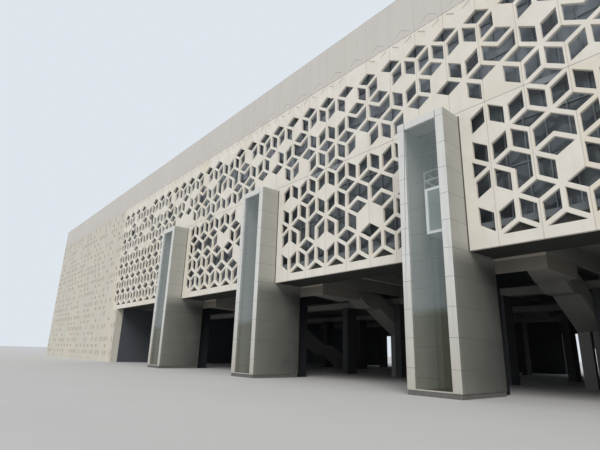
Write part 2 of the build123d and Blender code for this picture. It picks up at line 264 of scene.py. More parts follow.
def shader_group(name: str, inputs: dict[str, float], outputs: Iterable[str]) -> tuple[NodeTree, Node, Node]:
    """Starts a shader node group whose inputs and outputs are numbers.

    Args:
        name: The group's name.
        inputs: The default value of each input.
        outputs: The name of each output.

    Returns:
        A writer for the tree, its input node and its output node.
    """
    tree = bpy.data.node_groups.new(name, "ShaderNodeTree")
    for label, default in inputs.items():
        socket = tree.interface.new_socket(name=label, in_out="INPUT", socket_type="NodeSocketFloat")
        socket.default_value = default
    for label in outputs:
        tree.interface.new_socket(name=label, in_out="OUTPUT", socket_type="NodeSocketFloat")
    return NodeTree(tree), tree.nodes.new("NodeGroupInput"), tree.nodes.new("NodeGroupOutput")


def build_grain_group() -> bpy.types.NodeTree:
    """Builds the group that gives fine grain and large soft clouds of tone.

    Returns:
        The group, with outputs Grain and Cloud from 0 to 1.
    """
    scales = {"Grain Scale": 90.0, "Cloud Scale": 1.6}
    write, entry, leave = shader_group("cast_grain", scales, ("Grain", "Cloud"))
    position = write.position()
    for label, detail in (("Grain", 3.0), ("Cloud", 5.0)):
        noise = write.add("ShaderNodeTexNoise", {
            "Vector": position, "Scale": entry.outputs[f"{label} Scale"], "Detail": detail,
            "Roughness": NOISE_ROUGHNESS,
        })
        write.feed(leave.inputs[label], write.ramp(noise.outputs[0], *NOISE_SPAN))
    return write.tree


def build_streak_group() -> bpy.types.NodeTree:
    """Builds the group for rain streaks that run down a wall.

    Returns:
        The group, with the output Streak from 0 to 1.
    """
    write, entry, leave = shader_group("rain_streak", {"Width": 26.0}, ("Streak",))
    scale = (1.0, 1.0, STREAK_STRETCH)
    stretch = write.add("ShaderNodeMapping", {"Vector": write.position(), "Scale": scale})
    noise = write.add("ShaderNodeTexNoise", {
        "Vector": stretch.outputs[0], "Scale": entry.outputs["Width"], "Detail": 4.0,
    })
    write.feed(leave.inputs["Streak"], write.ramp(noise.outputs[0], *STREAK_SPAN))
    return write.tree


def build_panel_group() -> bpy.types.NodeTree:
    """Builds the group that tells panels apart: a tone for each panel and masks of its joints.

    Returns:
        The group, with outputs Tone, Seam at upright joints and Line at level ones, from 0 to 1.
    """
    sizes = {
        "Across": PANEL, "Across Start": 0.0, "Up": 4.0, "Up Start": 0.0,
        "Seam Width": 0.0016, "Line Width": 0.0016,
    }
    write, entry, leave = shader_group("cast_panels", sizes, ("Tone", "Seam", "Line"))
    x, y, z = write.parts(write.position())
    sideways = write.math("ABSOLUTE", write.parts(write.normal())[0])
    faces_end = write.math("GREATER_THAN", sideways, END_FACING)
    along = write.math(
        "ADD", write.math("MULTIPLY", x, write.math("SUBTRACT", 1.0, faces_end)),
        write.math("MULTIPLY", y, faces_end),
    )
    cells = []
    for value, pitch, mask in ((along, "Across", "Seam"), (z, "Up", "Line")):
        started = write.math("SUBTRACT", value, entry.outputs[f"{pitch} Start"])
        counted = write.math("DIVIDE", started, entry.outputs[pitch])
        cells.append(write.math("FLOOR", counted))
        nearest = write.math("SUBTRACT", counted, write.math("ROUND", counted))
        distance = write.math("MULTIPLY", write.math("ABSOLUTE", nearest), entry.outputs[pitch])
        inside = write.math("LESS_THAN", distance, entry.outputs[f"{mask} Width"])
        write.feed(leave.inputs[mask], inside)
    panel = write.add("ShaderNodeCombineXYZ", dict(enumerate(cells)))
    chance = write.add("ShaderNodeTexWhiteNoise", {"Vector": panel.outputs[0]}, noise_dimensions="3D")
    write.feed(leave.inputs["Tone"], chance.outputs["Value"])
    return write.tree


@dataclass(frozen=True)
class SharedGroups:
    """The shader groups that more than one finish uses, each built once."""

    grain: bpy.types.NodeTree = field(default_factory=build_grain_group)
    streak: bpy.types.NodeTree = field(default_factory=build_streak_group)
    panels: bpy.types.NodeTree = field(default_factory=build_panel_group)


# Finishes


@dataclass(frozen=True)
class Finish:
    """What every finish has: a colour, a roughness and, where there are panels, their joints.

    Attributes:
        name: The material's name.
        colour: The main colour.
        roughness: The surface's roughness.
        across: The width between upright joints, or 0 for a surface with no joints.
        across_start: The place of one upright joint.
        up: The height between level joints.
        up_start: The height of one level joint.
        line_width: Half of a level joint's width.
        joint_share: How dark a level joint is.
        rough_spread: How much the roughness varies.
        bump_depth: How deep the surface's unevenness is.
    """

    name: str
    colour: Colour
    _: KW_ONLY
    roughness: float = 0.4
    rough_spread: float = 0.14
    bump_depth: float = 0.0003
    across: float = 0.0
    across_start: float = 0.0
    up: float = 9.0
    up_start: float = 0.0
    line_width: float = 0.0011
    joint_share: float = 0.75

    def panels(self, write: NodeTree, groups: SharedGroups, seam_width: float) -> Sockets:
        """Places the panel group with this finish's joints.

        Args:
            write: The material's writer.
            groups: The shared shader groups.
            seam_width: Half of an upright joint's width.

        Returns:
            The group's outputs.
        """
        return write.place(
            groups.panels, Across=self.across, Across_Start=self.across_start, Up=self.up,
            Up_Start=self.up_start, Seam_Width=seam_width, Line_Width=self.line_width,
        )

    def varied_roughness(self, write: NodeTree, mask: Socket) -> Socket:
        """Gives a roughness that varies with a mask around the finish's own."""
        low = self.roughness - self.rough_spread / 2
        return write.math("MULTIPLY_ADD", mask, self.rough_spread, low)


@dataclass(frozen=True)
class Masonry(Finish):
    """Cast concrete or stone: clouds of tone, fine grain, rain streaks and panel joints.

    Attributes:
        stain: The colour of clouds and streaks.
        stain_share: How far the clouds go to the stain colour.
        streak_share: How far the streaks go to it.
        tone_share: How much one panel differs from the next.
        tone_shade: How dark the darkest panel is.
        grain_height: The height of the grain in the bump, where a joint is 1 deep.
        speck_share: How far the grain goes to its dark tone.
        speck_shade: How dark that tone is.
        seam_width: Half of an upright joint's width.
        seam: The colour of an upright joint.
        seam_share: How far an upright joint goes to that colour.
        odd: The colour of the few panels that differ most.
        odd_share: How far those panels go to it.
        odd_power: The higher it is, the fewer they are.
        cloud_scale: How small the clouds are.
        specular: How much light the surface reflects, 0.5 for plain concrete.
    """

    stain: Colour
    _: KW_ONLY
    roughness: float = 0.82
    rough_spread: float = 0.12
    bump_depth: float = 0.0006
    across_start: float = PANEL / 2
    line_width: float = 0.0015
    stain_share: float = 0.35
    streak_share: float = 0.2
    tone_share: float = 0.12
    tone_shade: float = 0.8
    grain_height: float = 0.35
    speck_share: float = 0.07
    speck_shade: float = 0.45
    seam_width: float = 0.0015
    seam: Colour = CAST_JOINT
    seam_share: float = 0.75
    odd: Colour = (0.78, 0.7, 0.56)
    odd_share: float = 0.0
    odd_power: float = 4.0
    cloud_scale: float = 2.3
    specular: float = 0.5

    def build(self, groups: SharedGroups) -> bpy.types.Material:
        """Builds the material.

        Args:
            groups: The shared shader groups.

        Returns:
            The material.
        """
        write = Surface(self.name)
        grain = write.place(groups.grain, Grain_Scale=160.0, Cloud_Scale=self.cloud_scale)
        streak = write.place(groups.streak)
        colour = write.shade(self.colour, grain["Cloud"], self.stain_share, self.stain)
        colour = write.shade(colour, streak["Streak"], self.streak_share, self.stain)
        height = write.math("MULTIPLY", grain["Grain"], self.grain_height)
        if self.across:
            panels = self.panels(write, groups, self.seam_width)
            darkest = scaled(self.colour, self.tone_shade)
            colour = write.shade(colour, panels["Tone"], self.tone_share, darkest)
            odd = write.math("POWER", panels["Tone"], self.odd_power)
            colour = write.shade(colour, odd, self.odd_share, self.odd)
            colour = write.shade(colour, panels["Seam"], self.seam_share, self.seam)
            colour = write.shade(colour, panels["Line"], self.joint_share, CAST_JOINT)
            height = write.math("SUBTRACT", height, panels["Line"])
        speck = scaled(self.colour, self.speck_shade)
        colour = write.shade(colour, grain["Grain"], self.speck_share, speck)
        rough = self.varied_roughness(write, grain["Grain"])
        write.set(Base_Color=colour, Roughness=rough, Specular_IOR_Level=self.specular)
        write.bump(height, self.bump_depth)
        return write.material


@dataclass(frozen=True)
class Coating(Finish):
    """Painted or bare metal sheet: a slight unevenness of tone and sheen, with panel joints, and painted
    shade and a painted light of its own where asked.

    Attributes:
        metallic: 1 for bare metal, 0 for paint.
        dull: How dark the duller patches and sheets are.
        dirt: How much dust, duller patches and streaks show.
        tone_share: How much one sheet differs from the next.
        grain_height: The height of the grain in the bump, where a joint is 1 deep.
        foot_painted_shade: What the colour is multiplied by at the foot, as painted shade.
        foot: The heights where the painted shade at the foot is full and where it ends.
        back_painted_shade: What the colour is multiplied by at the foot of the far edge, as painted shade
            towards the back.
        head: The height of one more level joint, which ends the others.
        corner: The Y and the height beyond which painted shade shows in the corner.
        corner_shade_share: How dark that painted corner shade is.
        painted_glow: How much painted light the surface gives of its own, though it is no lamp, but for
            faces that look down.
        painted_glow_span: The extent in X that is as pale as the colour and glows; the rest is painted dark,
            as unlit.
    """

    metallic: float = 0.0
    dull: float = 0.7
    dirt: float = 0.15
    tone_share: float = 0.1
    grain_height: float = 0.1
    foot_painted_shade: Colour = (1.0, 1.0, 1.0)
    foot: Span = (0.0, 1.0)
    back_painted_shade: Colour | None = None
    head: float = 9.0
    corner: Span | None = None
    corner_shade_share: float = 0.75
    painted_glow: float = 0.0
    painted_glow_span: Span = (1.8395, 2.0005)

    def build(self, groups: SharedGroups) -> bpy.types.Material:
        """Builds the material.

        Args:
            groups: The shared shader groups.

        Returns:
            The material.
        """
        write = Surface(self.name)
        grain = write.place(groups.grain, Grain_Scale=240.0, Cloud_Scale=5.0)
        streak = write.place(groups.streak, Width=60.0)
        x, y, z = write.parts(write.position())
        dull = scaled(self.colour, self.dull)
        # Painted shade: darker at the foot, and darker still towards the back of the tower.
        low = tinted(self.colour, self.foot_painted_shade)
        if self.back_painted_shade:
            low = write.mix(write.ramp(y, *TOWER_DEPTH), low, tinted(self.colour, self.back_painted_shade))
        colour = write.mix(write.ramp(z, *self.foot), low, self.colour)
        colour = write.shade(colour, grain["Cloud"], self.dirt, dull)
        colour = write.shade(colour, streak["Streak"], self.dirt, DUST)
        height = write.math("MULTIPLY", grain["Grain"], self.grain_height)
        if self.across:
            panels = self.panels(write, groups, self.line_width)
            colour = write.shade(colour, panels["Tone"], self.tone_share, dull)
            joint = self._joints(write, panels, z)
            colour = write.shade(colour, joint, self.joint_share, SHEET_JOINT)
            height = write.math("SUBTRACT", height, joint)
        # Painted shade in the corner behind a Y and above a height.
        if self.corner:
            behind = write.math("GREATER_THAN", y, self.corner[0])
            above = write.math("GREATER_THAN", z, self.corner[1])
            corner = write.math("MULTIPLY", behind, above)
            colour = write.shade(colour, corner, self.corner_shade_share, PAINTED_CORNER_SHADE)
        # Painted light: the car shines though it is no lamp, and outside the span it is painted dark as
        # unlit.
        if self.painted_glow:
            beyond = write.math("GREATER_THAN", x, self.painted_glow_span[0])
            within = write.math("MULTIPLY", beyond, write.math("LESS_THAN", x, self.painted_glow_span[1]))
            colour = write.mix(within, PAINTED_UNLIT_CAR, colour)
            painted_glow_strength = write.math("GREATER_THAN", write.parts(write.normal())[2], LOOKS_DOWN)
            painted_glow_strength = write.math("MULTIPLY", write.math("MULTIPLY", painted_glow_strength, within), self.painted_glow)
            write.set(Emission_Color=colour, Emission_Strength=painted_glow_strength)
        rough = self.varied_roughness(write, grain["Cloud"])
        write.set(Base_Color=colour, Roughness=rough, Metallic=self.metallic)
        write.bump(height, self.bump_depth)
        return write.material

    def _joints(self, write: NodeTree, panels: Sockets, z: Socket) -> Socket:
        """Gives the mask of the sheets' joints, the highest level one at the head.

        Args:
            write: The material's writer.
            panels: The panel group's outputs.
            z: The height of a point.

        Returns:
            The mask.
        """
        below = write.math("LESS_THAN", z, self.head - self.up / 2)
        lines = write.math("MULTIPLY", panels["Line"], below)
        distance = write.math("ABSOLUTE", write.math("SUBTRACT", z, self.head))
        last = write.math("LESS_THAN", distance, self.line_width)
        return write.math("MAXIMUM", panels["Seam"], write.math("MAXIMUM", lines, last))


@dataclass(frozen=True)
class Glazing(Finish):
    """Glass in a wall: tinted, glossy, a little wavy, partly see-through, and with painted light at its head
    where asked.

    Attributes:
        low_colour: The tint at the bottom.
        low: The heights where the bottom tint is full and where it ends.
        alpha: How much of the tint is solid.
        solid_joint: How much more is solid at a joint.
        cloud_share: How far the clouds go to their dark tone.
        cloud_shade: How dark that tone is.
        pane: The width of a pane, or 0 for one sheet.
        pane_up: The height of a pane.
        pane_start: The height where one pane begins.
        pane_share: How much one pane differs from the next.
        pane_shade: How light the lightest pane is.
        top_painted_light: What the colour is multiplied by at the head of the windows, as painted light.
        top: The heights where the painted light at the head begins and where it is full.
    """

    low_colour: Colour
    low: Span
    _: KW_ONLY
    roughness: float = 0.05
    bump_depth: float = 0.0002
    line_width: float = 0.0009
    alpha: float = 1.0
    solid_joint: float = 0.5
    cloud_share: float = 0.25
    cloud_shade: float = 0.6
    pane: float = 0.0
    pane_up: float = 0.83
    pane_start: float = 0.94
    pane_share: float = 0.4
    pane_shade: float = 1.4
    top_painted_light: float = 1.0
    top: Span = (8.0, 9.0)

    def build(self, groups: SharedGroups) -> bpy.types.Material:
        """Builds the material.

        Args:
            groups: The shared shader groups.

        Returns:
            The material.
        """
        write = Surface(self.name)
        grain = write.place(groups.grain, Grain_Scale=14.0, Cloud_Scale=3.0)
        z = write.parts(write.position())[2]
        colour = write.mix(write.ramp(z, *self.low), self.low_colour, self.colour)
        # Painted light: lighter at the head of the windows, where they lie in shade.
        colour = write.mix(write.ramp(z, *self.top), colour, scaled(self.colour, self.top_painted_light))
        cloud = scaled(self.colour, self.cloud_shade)
        colour = write.shade(colour, grain["Cloud"], self.cloud_share, cloud)
        solid = self.alpha
        if self.pane:
            panes = write.place(
                groups.panels, Across=self.pane, Up=self.pane_up, Up_Start=self.pane_start,
            )
            lightest = scaled(self.colour, self.pane_shade)
            colour = write.shade(colour, panes["Tone"], self.pane_share, lightest)
        if self.across:
            lines = self.panels(write, groups, self.line_width)["Line"]
            line = write.math("MULTIPLY", lines, self.joint_share)
            colour = write.mix(line, colour, GLASS_JOINT)
            solid = write.math("MULTIPLY_ADD", line, self.solid_joint, self.alpha)
        write.set(Base_Color=colour, Roughness=self.roughness, Alpha=solid)
        write.bump(grain["Grain"], self.bump_depth)
        return write.material


class Finishes:
    """Every finish of the building, built once and looked up by name."""

    def __init__(self) -> None:
        """Builds the materials."""
        # Upright joints so far apart that no tower has one.
        level_only = {"across": 9.0, "across_start": 4.5, "up": SHEET}
        sheets = {**level_only, "up_start": 0.149, "head": HEAD_JOINT}
        looks = (
            Masonry("cream_screen", (0.855, 0.82, 0.735), (0.63, 0.58, 0.5), across=PANEL,
                    up_start=PANEL_JOINT, tone_share=0.25, stain_share=0.38, seam_width=0.0025,
                    seam=(0.5, 0.44, 0.37), seam_share=0.65, odd_share=0.6, cloud_scale=8.0),
            Masonry("smooth_parapet", (0.66, 0.63, 0.585), (0.52, 0.485, 0.43), across=PANEL,
                    up=0.405, up_start=PARAPET_FOOT, tone_share=0.14, stain_share=0.18,
                    streak_share=0.25, line_width=0.0045, joint_share=0.6, seam=(0.36, 0.34, 0.32),
                    seam_share=0.6),
            Masonry("relief_wall", (0.66, 0.635, 0.555), (0.5, 0.465, 0.39), across=PANEL,
                    up_start=PANEL_JOINT, tone_share=0.2, stain_share=0.25, seam_width=0.0025,
                    seam=(0.42, 0.37, 0.31), seam_share=0.6, odd_share=0.4, cloud_scale=6.0),
            # relief_pit_painted_shade is darker than relief_wall, as painted shade in the pits.
            Masonry("relief_pit_painted_shade", (0.52, 0.47, 0.385), (0.42, 0.37, 0.3)),
            # deck_concrete, soffit_painted_shade, shaded_concrete and column_painted_shade are near black,
            # as painted shade under the deck.
            Masonry("deck_concrete", (0.075, 0.08, 0.083), (0.035, 0.036, 0.038), stain_share=0.5,
                    streak_share=0.3),
            Masonry("soffit_painted_shade", (0.052, 0.054, 0.051), (0.027, 0.027, 0.025),
                    stain_share=0.4, across=0.48, across_start=0.0, specular=0.2),
            Masonry("shaded_concrete", (0.012, 0.014, 0.016), (0.008, 0.009, 0.01), specular=0.1),
            Masonry("column_painted_shade", (0.022, 0.025, 0.029), (0.014, 0.016, 0.018), specular=0.05),
            # ledge_painted_highlight is lighter, as a painted highlight on top of the cross heads' front.
            Masonry("ledge_painted_highlight", (0.5, 0.46, 0.39), (0.4, 0.37, 0.31)),
            Masonry("deck_soffit", (0.27, 0.272, 0.26), (0.17, 0.17, 0.165), stain_share=0.4,
                    across=0.48, across_start=0.0, specular=0.2),
            # slab_edge_painted_light and storey_edge_painted_light are lighter than their slabs' own tone,
            # as painted light where they lie in shade.
            Masonry("slab_edge_painted_light", (0.125, 0.142, 0.155), (0.08, 0.09, 0.1), stain_share=0.3),
            Masonry("storey_edge_painted_light", (0.22, 0.24, 0.26), (0.26, 0.28, 0.3), stain_share=0.3),
            Masonry("cross_head_concrete", (0.265, 0.244, 0.207), (0.16, 0.143, 0.12),
                    stain_share=0.4),
            Masonry("stair_concrete", (0.29, 0.285, 0.268), (0.16, 0.155, 0.145), stain_share=0.4),
            # hall_painted_shade is near black, as painted shade inside the building.
            Masonry("hall_painted_shade", (0.075, 0.085, 0.1), (0.05, 0.055, 0.062), stain_share=0.2),
            Masonry("plinth_stone", (0.158, 0.152, 0.141), (0.088, 0.084, 0.077), across=0.056,
                    across_start=0.0, up=0.028, stain_share=0.4, roughness=0.55, tone_share=0.5),
            Masonry("roof_membrane", (0.36, 0.36, 0.355), (0.26, 0.26, 0.25), across=0.2,
                    across_start=0.0, stain_share=0.5, joint_share=0.3, roughness=0.7),
            # The towers' finishes are darker at the foot, towards the back and in the back corner, as
            # painted shade.
            Coating("tower_white", (0.74, 0.745, 0.715), roughness=0.34, foot=(0.0, 0.8),
                    foot_painted_shade=(0.66, 0.62, 0.55), **sheets),
            Coating("tower_return", (0.43, 0.43, 0.395), foot=(0.74, 0.88),
                    foot_painted_shade=(0.5, 0.505, 0.505), corner=(TOWER_DEPTH[0] + 0.054, 1.5), **sheets),
            # open_joint_painted_shade is near black, as painted shade inside the grooves.
            Coating("open_joint_painted_shade", (0.03, 0.03, 0.03), roughness=0.7),
            Coating("tower_warm_grey", (0.43, 0.425, 0.378), roughness=0.42, foot=(0.74, 0.88),
                    foot_painted_shade=(0.46, 0.465, 0.465), back_painted_shade=(0.13, 0.135, 0.14),
                    corner=(TOWER_DEPTH[0] + 0.186, 0.83), **sheets),
            # shaft_lining is darker towards the back, as painted shade.
            Coating("shaft_lining", (0.62, 0.65, 0.61), roughness=0.5, dirt=0.1, foot=(8.0, 9.0),
                    foot_painted_shade=(0.95, 0.95, 0.95), back_painted_shade=(0.2, 0.22, 0.22)),
            Coating("window_frame", (0.26, 0.285, 0.31), metallic=0.2),
            Coating("coping_metal", (0.6, 0.6, 0.58), metallic=0.4, roughness=0.38, across=0.48),
            Coating("guide_steel", (0.42, 0.43, 0.44), metallic=1.0, roughness=0.35),
            # car_white and car_rail give painted light of their own, though the car is no lamp.
            Coating("car_white", (0.86, 0.88, 0.87), roughness=0.3, dirt=0.06, painted_glow=0.4),
            Coating("car_rail", (0.6, 0.62, 0.61), roughness=0.35, dirt=0.06, painted_glow=0.12),
            # upper_window and lower_window are lighter at their heads, as painted light.
            Glazing("upper_window", (0.26, 0.295, 0.333), (0.12, 0.137, 0.155), (1.78, 2.25),
                    pane=PANEL / 2, top_painted_light=3.5, top=(2.39, 2.49)),
            Glazing("lower_window", (0.102, 0.118, 0.132), (0.095, 0.11, 0.122), (1.0, 1.5),
                    pane=PANEL / 2, top_painted_light=2.6, top=(1.58, 1.7)),
            Glazing("tower_window", (0.34, 0.4, 0.4), (0.1, 0.1, 0.05), (0.44, 0.5), alpha=0.22,
                    up_start=0.098, joint_share=0.35, **level_only),
            Glazing("car_window", (0.62, 0.72, 0.71), (0.6, 0.69, 0.68), (0.0, 1.0), alpha=0.4),
        )
        groups = SharedGroups()
        self.materials = {look.name: look.build(groups) for look in looks}

    def dress(self, piece: Piece, *names: str) -> None:
        """Gives an object its finishes, the first one on all its faces.

        Args:
            piece: The object.
            *names: The finishes' names, in the order of its material slots.
        """
        piece.data.materials.clear()
        for name in names:
            piece.data.materials.append(self.materials[name])


# Mesh helpers


def mesh_object(name: str, mesh: Mesh) -> Piece:
    """Turns a bmesh into an object in the scene.

    Args:
        name: The object's name.
        mesh: The bmesh, which is freed.

    Returns:
        The object, at the origin.
    """
    data = bpy.data.meshes.new(name)
    mesh.to_mesh(data)
    mesh.free()
    made = bpy.data.objects.new(name, data)
    bpy.context.scene.collection.objects.link(made)
    return made


def discard(*pieces: Piece) -> None:
    """Removes helper objects from the scene."""
    for piece in pieces:
        bpy.data.objects.remove(piece)


def add_box(mesh: Mesh, low: Sequence[float], high: Sequence[float]) -> None:
    """Adds a closed box to a bmesh.

    Args:
        mesh: The bmesh.
        low: The lowest corner.
        high: The highest corner.
    """
    size = Vector(high) - Vector(low)
    middle = (Vector(high) + Vector(low)) / 2
    place = Matrix.Translation(middle) @ Matrix.Diagonal((*size, 1.0))
    bmesh.ops.create_cube(mesh, size=1.0, matrix=place)


def slice_mesh(mesh: Mesh, point: Sequence[float], normal: Sequence[float], trim: bool = False) -> None:
    """Slices a bmesh along a plane.

    Args:
        mesh: The bmesh.
        point: A point of the plane.
        normal: The way that the plane looks.
        trim: Whether what lies beyond the plane goes.
    """
    everything = mesh.verts[:] + mesh.edges[:] + mesh.faces[:]
    bmesh.ops.bisect_plane(
        mesh, geom=everything, dist=SAME, plane_co=point, plane_no=normal, clear_outer=trim
    )


def add_ring(mesh: Mesh, corners: Iterable[Span], z: float) -> list[Corner]:
    """Adds a ring of corners at one height and gives them."""
    return [mesh.verts.new((x, y, z)) for x, y in corners]


def add_band(mesh: Mesh, first: Sequence[Corner], second: Sequence[Corner]) -> None:
    """Adds the faces between two rings that have as many corners.

    Args:
        mesh: The bmesh.
        first: One ring's corners.
        second: The other ring's corners.
    """
    for here, _ in enumerate(first):
        after = (here + 1) % len(first)
        mesh.faces.new((first[here], first[after], second[after], second[here]))


def ride_and_slot(piece: Piece, body: str) -> None:
    """Makes a piece ride on a body and logs how many faces it has.

    Args:
        piece: The piece.
        body: The CAD body.
    """
    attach(piece, body)
    log.info("%s: %d faces", piece.name, len(piece.data.polygons))


def merged_mesh(node: Piece) -> Mesh:
    """Copies a CAD node's mesh as closed, flat-shaded solids with merged corners.

    Args:
        node: The CAD node.

    Returns:
        The copy.
    """
    mesh = bmesh.new()
    mesh.from_mesh(node.data)
    bmesh.ops.remove_doubles(mesh, verts=mesh.verts, dist=SAME)
    bmesh.ops.dissolve_limit(
        mesh, angle_limit=math.radians(FLAT_ANGLE), verts=mesh.verts, edges=mesh.edges,
        delimit={"NORMAL"},
    )
    for face in mesh.faces:
        face.smooth = False
    return mesh


def settle(piece: Piece) -> None:
    """Replaces a piece's mesh by what its modifiers make of it, and removes them.

    Args:
        piece: The piece.
    """
    graph = bpy.context.evaluated_depsgraph_get()
    result = bpy.data.meshes.new_from_object(piece.evaluated_get(graph), depsgraph=graph)
    piece.modifiers.clear()
    piece.data = result


def add_arris(piece: Piece, width: float) -> None:
    """Gives a piece's sharp edges a small arris.

    Args:
        piece: The piece.
        width: The width of the arris.
    """
    bevel = piece.modifiers.new("arris", "BEVEL")
    bevel.width = width
    bevel.segments = 1
    bevel.limit_method = "ANGLE"
    bevel.angle_limit = math.radians(ARRIS_ANGLE)
    bevel.use_clamp_overlap = True
    settle(piece)


def cut_away(piece: Piece, cutter: Piece) -> None:
    """Cuts a closed shape out of a piece.

    Args:
        piece: The piece.
        cutter: The closed shape, which is removed afterwards.
    """
    cut = piece.modifiers.new("pits", "BOOLEAN")
    cut.operation = "DIFFERENCE"
    cut.solver = "EXACT"
    cut.object = cutter
    settle(piece)
    discard(cutter)


# Repeats


class RepeatTree:
    """A Geometry Nodes tree that repeats a shape on a grid, with a share of plain places."""

    def __init__(self) -> None:
        """Builds the tree with named inputs for its sizes."""
        self.tree = bpy.data.node_groups.new("repeat_on_grid", "GeometryNodeTree")
        face = self.tree.interface
        kinds = {
            "Shape": "Object", "Plain Shape": "Object", "Columns": "Int", "Rows": "Int",
            "Across": "Float", "Up": "Float", "Odd Row Shift": "Float", "Plain Share": "Float",
            "Seed": "Int", "Finish": "Material",
        }
        self.sockets = {
            label: face.new_socket(name=label, in_out="INPUT", socket_type=f"NodeSocket{kind}").identifier
            for label, kind in kinds.items()
        }
        face.new_socket(name="Geometry", in_out="OUTPUT", socket_type="NodeSocketGeometry")
        write = NodeTree(self.tree)
        entry = write.add("NodeGroupInput").outputs
        grid = {"Vertices X": entry["Columns"], "Vertices Y": entry["Rows"]}
        for size, count, pitch in (("Size X", "Columns", "Across"), ("Size Y", "Rows", "Up")):
            grid[size] = write.math("MULTIPLY", write.math("SUBTRACT", entry[count], 1.0), entry[pitch])
        flat = write.add("GeometryNodeMeshGrid", grid)
        points = write.add("GeometryNodeMeshToPoints", {"Mesh": flat.outputs[0]})
        shift = write.math("MULTIPLY", self._row_number(write, entry), entry["Odd Row Shift"])
        offset = write.add("ShaderNodeCombineXYZ", {0: shift})
        move = write.add("GeometryNodeSetPosition", {
            "Geometry": points.outputs[0], "Offset": offset.outputs[0],
        })
        odds = {"Probability": entry["Plain Share"], "Seed": entry["Seed"]}
        chance = write.add("FunctionNodeRandomValue", odds, data_type="BOOLEAN").outputs[3]
        opposite = write.add("FunctionNodeBooleanMath", {0: chance}, operation="NOT").outputs[0]
        join = write.add("GeometryNodeJoinGeometry")
        for label, picked in (("Shape", opposite), ("Plain Shape", chance)):
            read = write.add("GeometryNodeObjectInfo", {"Object": entry[label], "As Instance": False})
            copies = write.add("GeometryNodeInstanceOnPoints", {
                "Points": move.outputs[0], "Selection": picked, "Instance": read.outputs["Geometry"],
            })
            write.feed(join.inputs[0], copies.outputs[0])
        real = write.add("GeometryNodeRealizeInstances", {0: join.outputs[0]})
        finish = write.add("GeometryNodeSetMaterial", {
            "Geometry": real.outputs[0], "Material": entry["Finish"],
        })
        write.add("NodeGroupOutput", {0: finish.outputs[0]})

    def _row_number(self, write: NodeTree, entry: Sockets) -> Socket:
        """Gives 1 on each second row of the grid and 0 on the others.

        Args:
            write: The tree's writer.
            entry: The tree's inputs.

        Returns:
            The number.
        """
        y = write.parts(write.add("GeometryNodeInputPosition").outputs[0])[1]
        half = write.math("DIVIDE", write.math("SUBTRACT", entry["Rows"], 1.0), 2.0)
        number = write.math("ADD", write.math("DIVIDE", y, entry["Up"]), half)
        return write.math("MODULO", write.math("ROUND", number), 2.0)

    def run(self, name: str, **values: object) -> Piece:
        """Runs the tree on a new object and makes its result a plain mesh.

        Args:
            name: The object's name.
            **values: Input values, with _ for a space in the input's name.

        Returns:
            The object, with the grid's middle at the origin in the XY plane.
        """
        holder = mesh_object(name, bmesh.new())
        modifier = holder.modifiers.new("repeat", "NODES")
        modifier.node_group = self.tree
        plain = {"Rows": 1, "Up": 1.0, "Odd_Row_Shift": 0.0, "Plain_Share": 0.0, "Seed": 0}
        plain["Plain_Shape"] = values["Shape"]
        for label, value in (plain | values).items():
            modifier[self.sockets[label.replace("_", " ")]] = value
        settle(holder)
        return holder


# The cast pattern


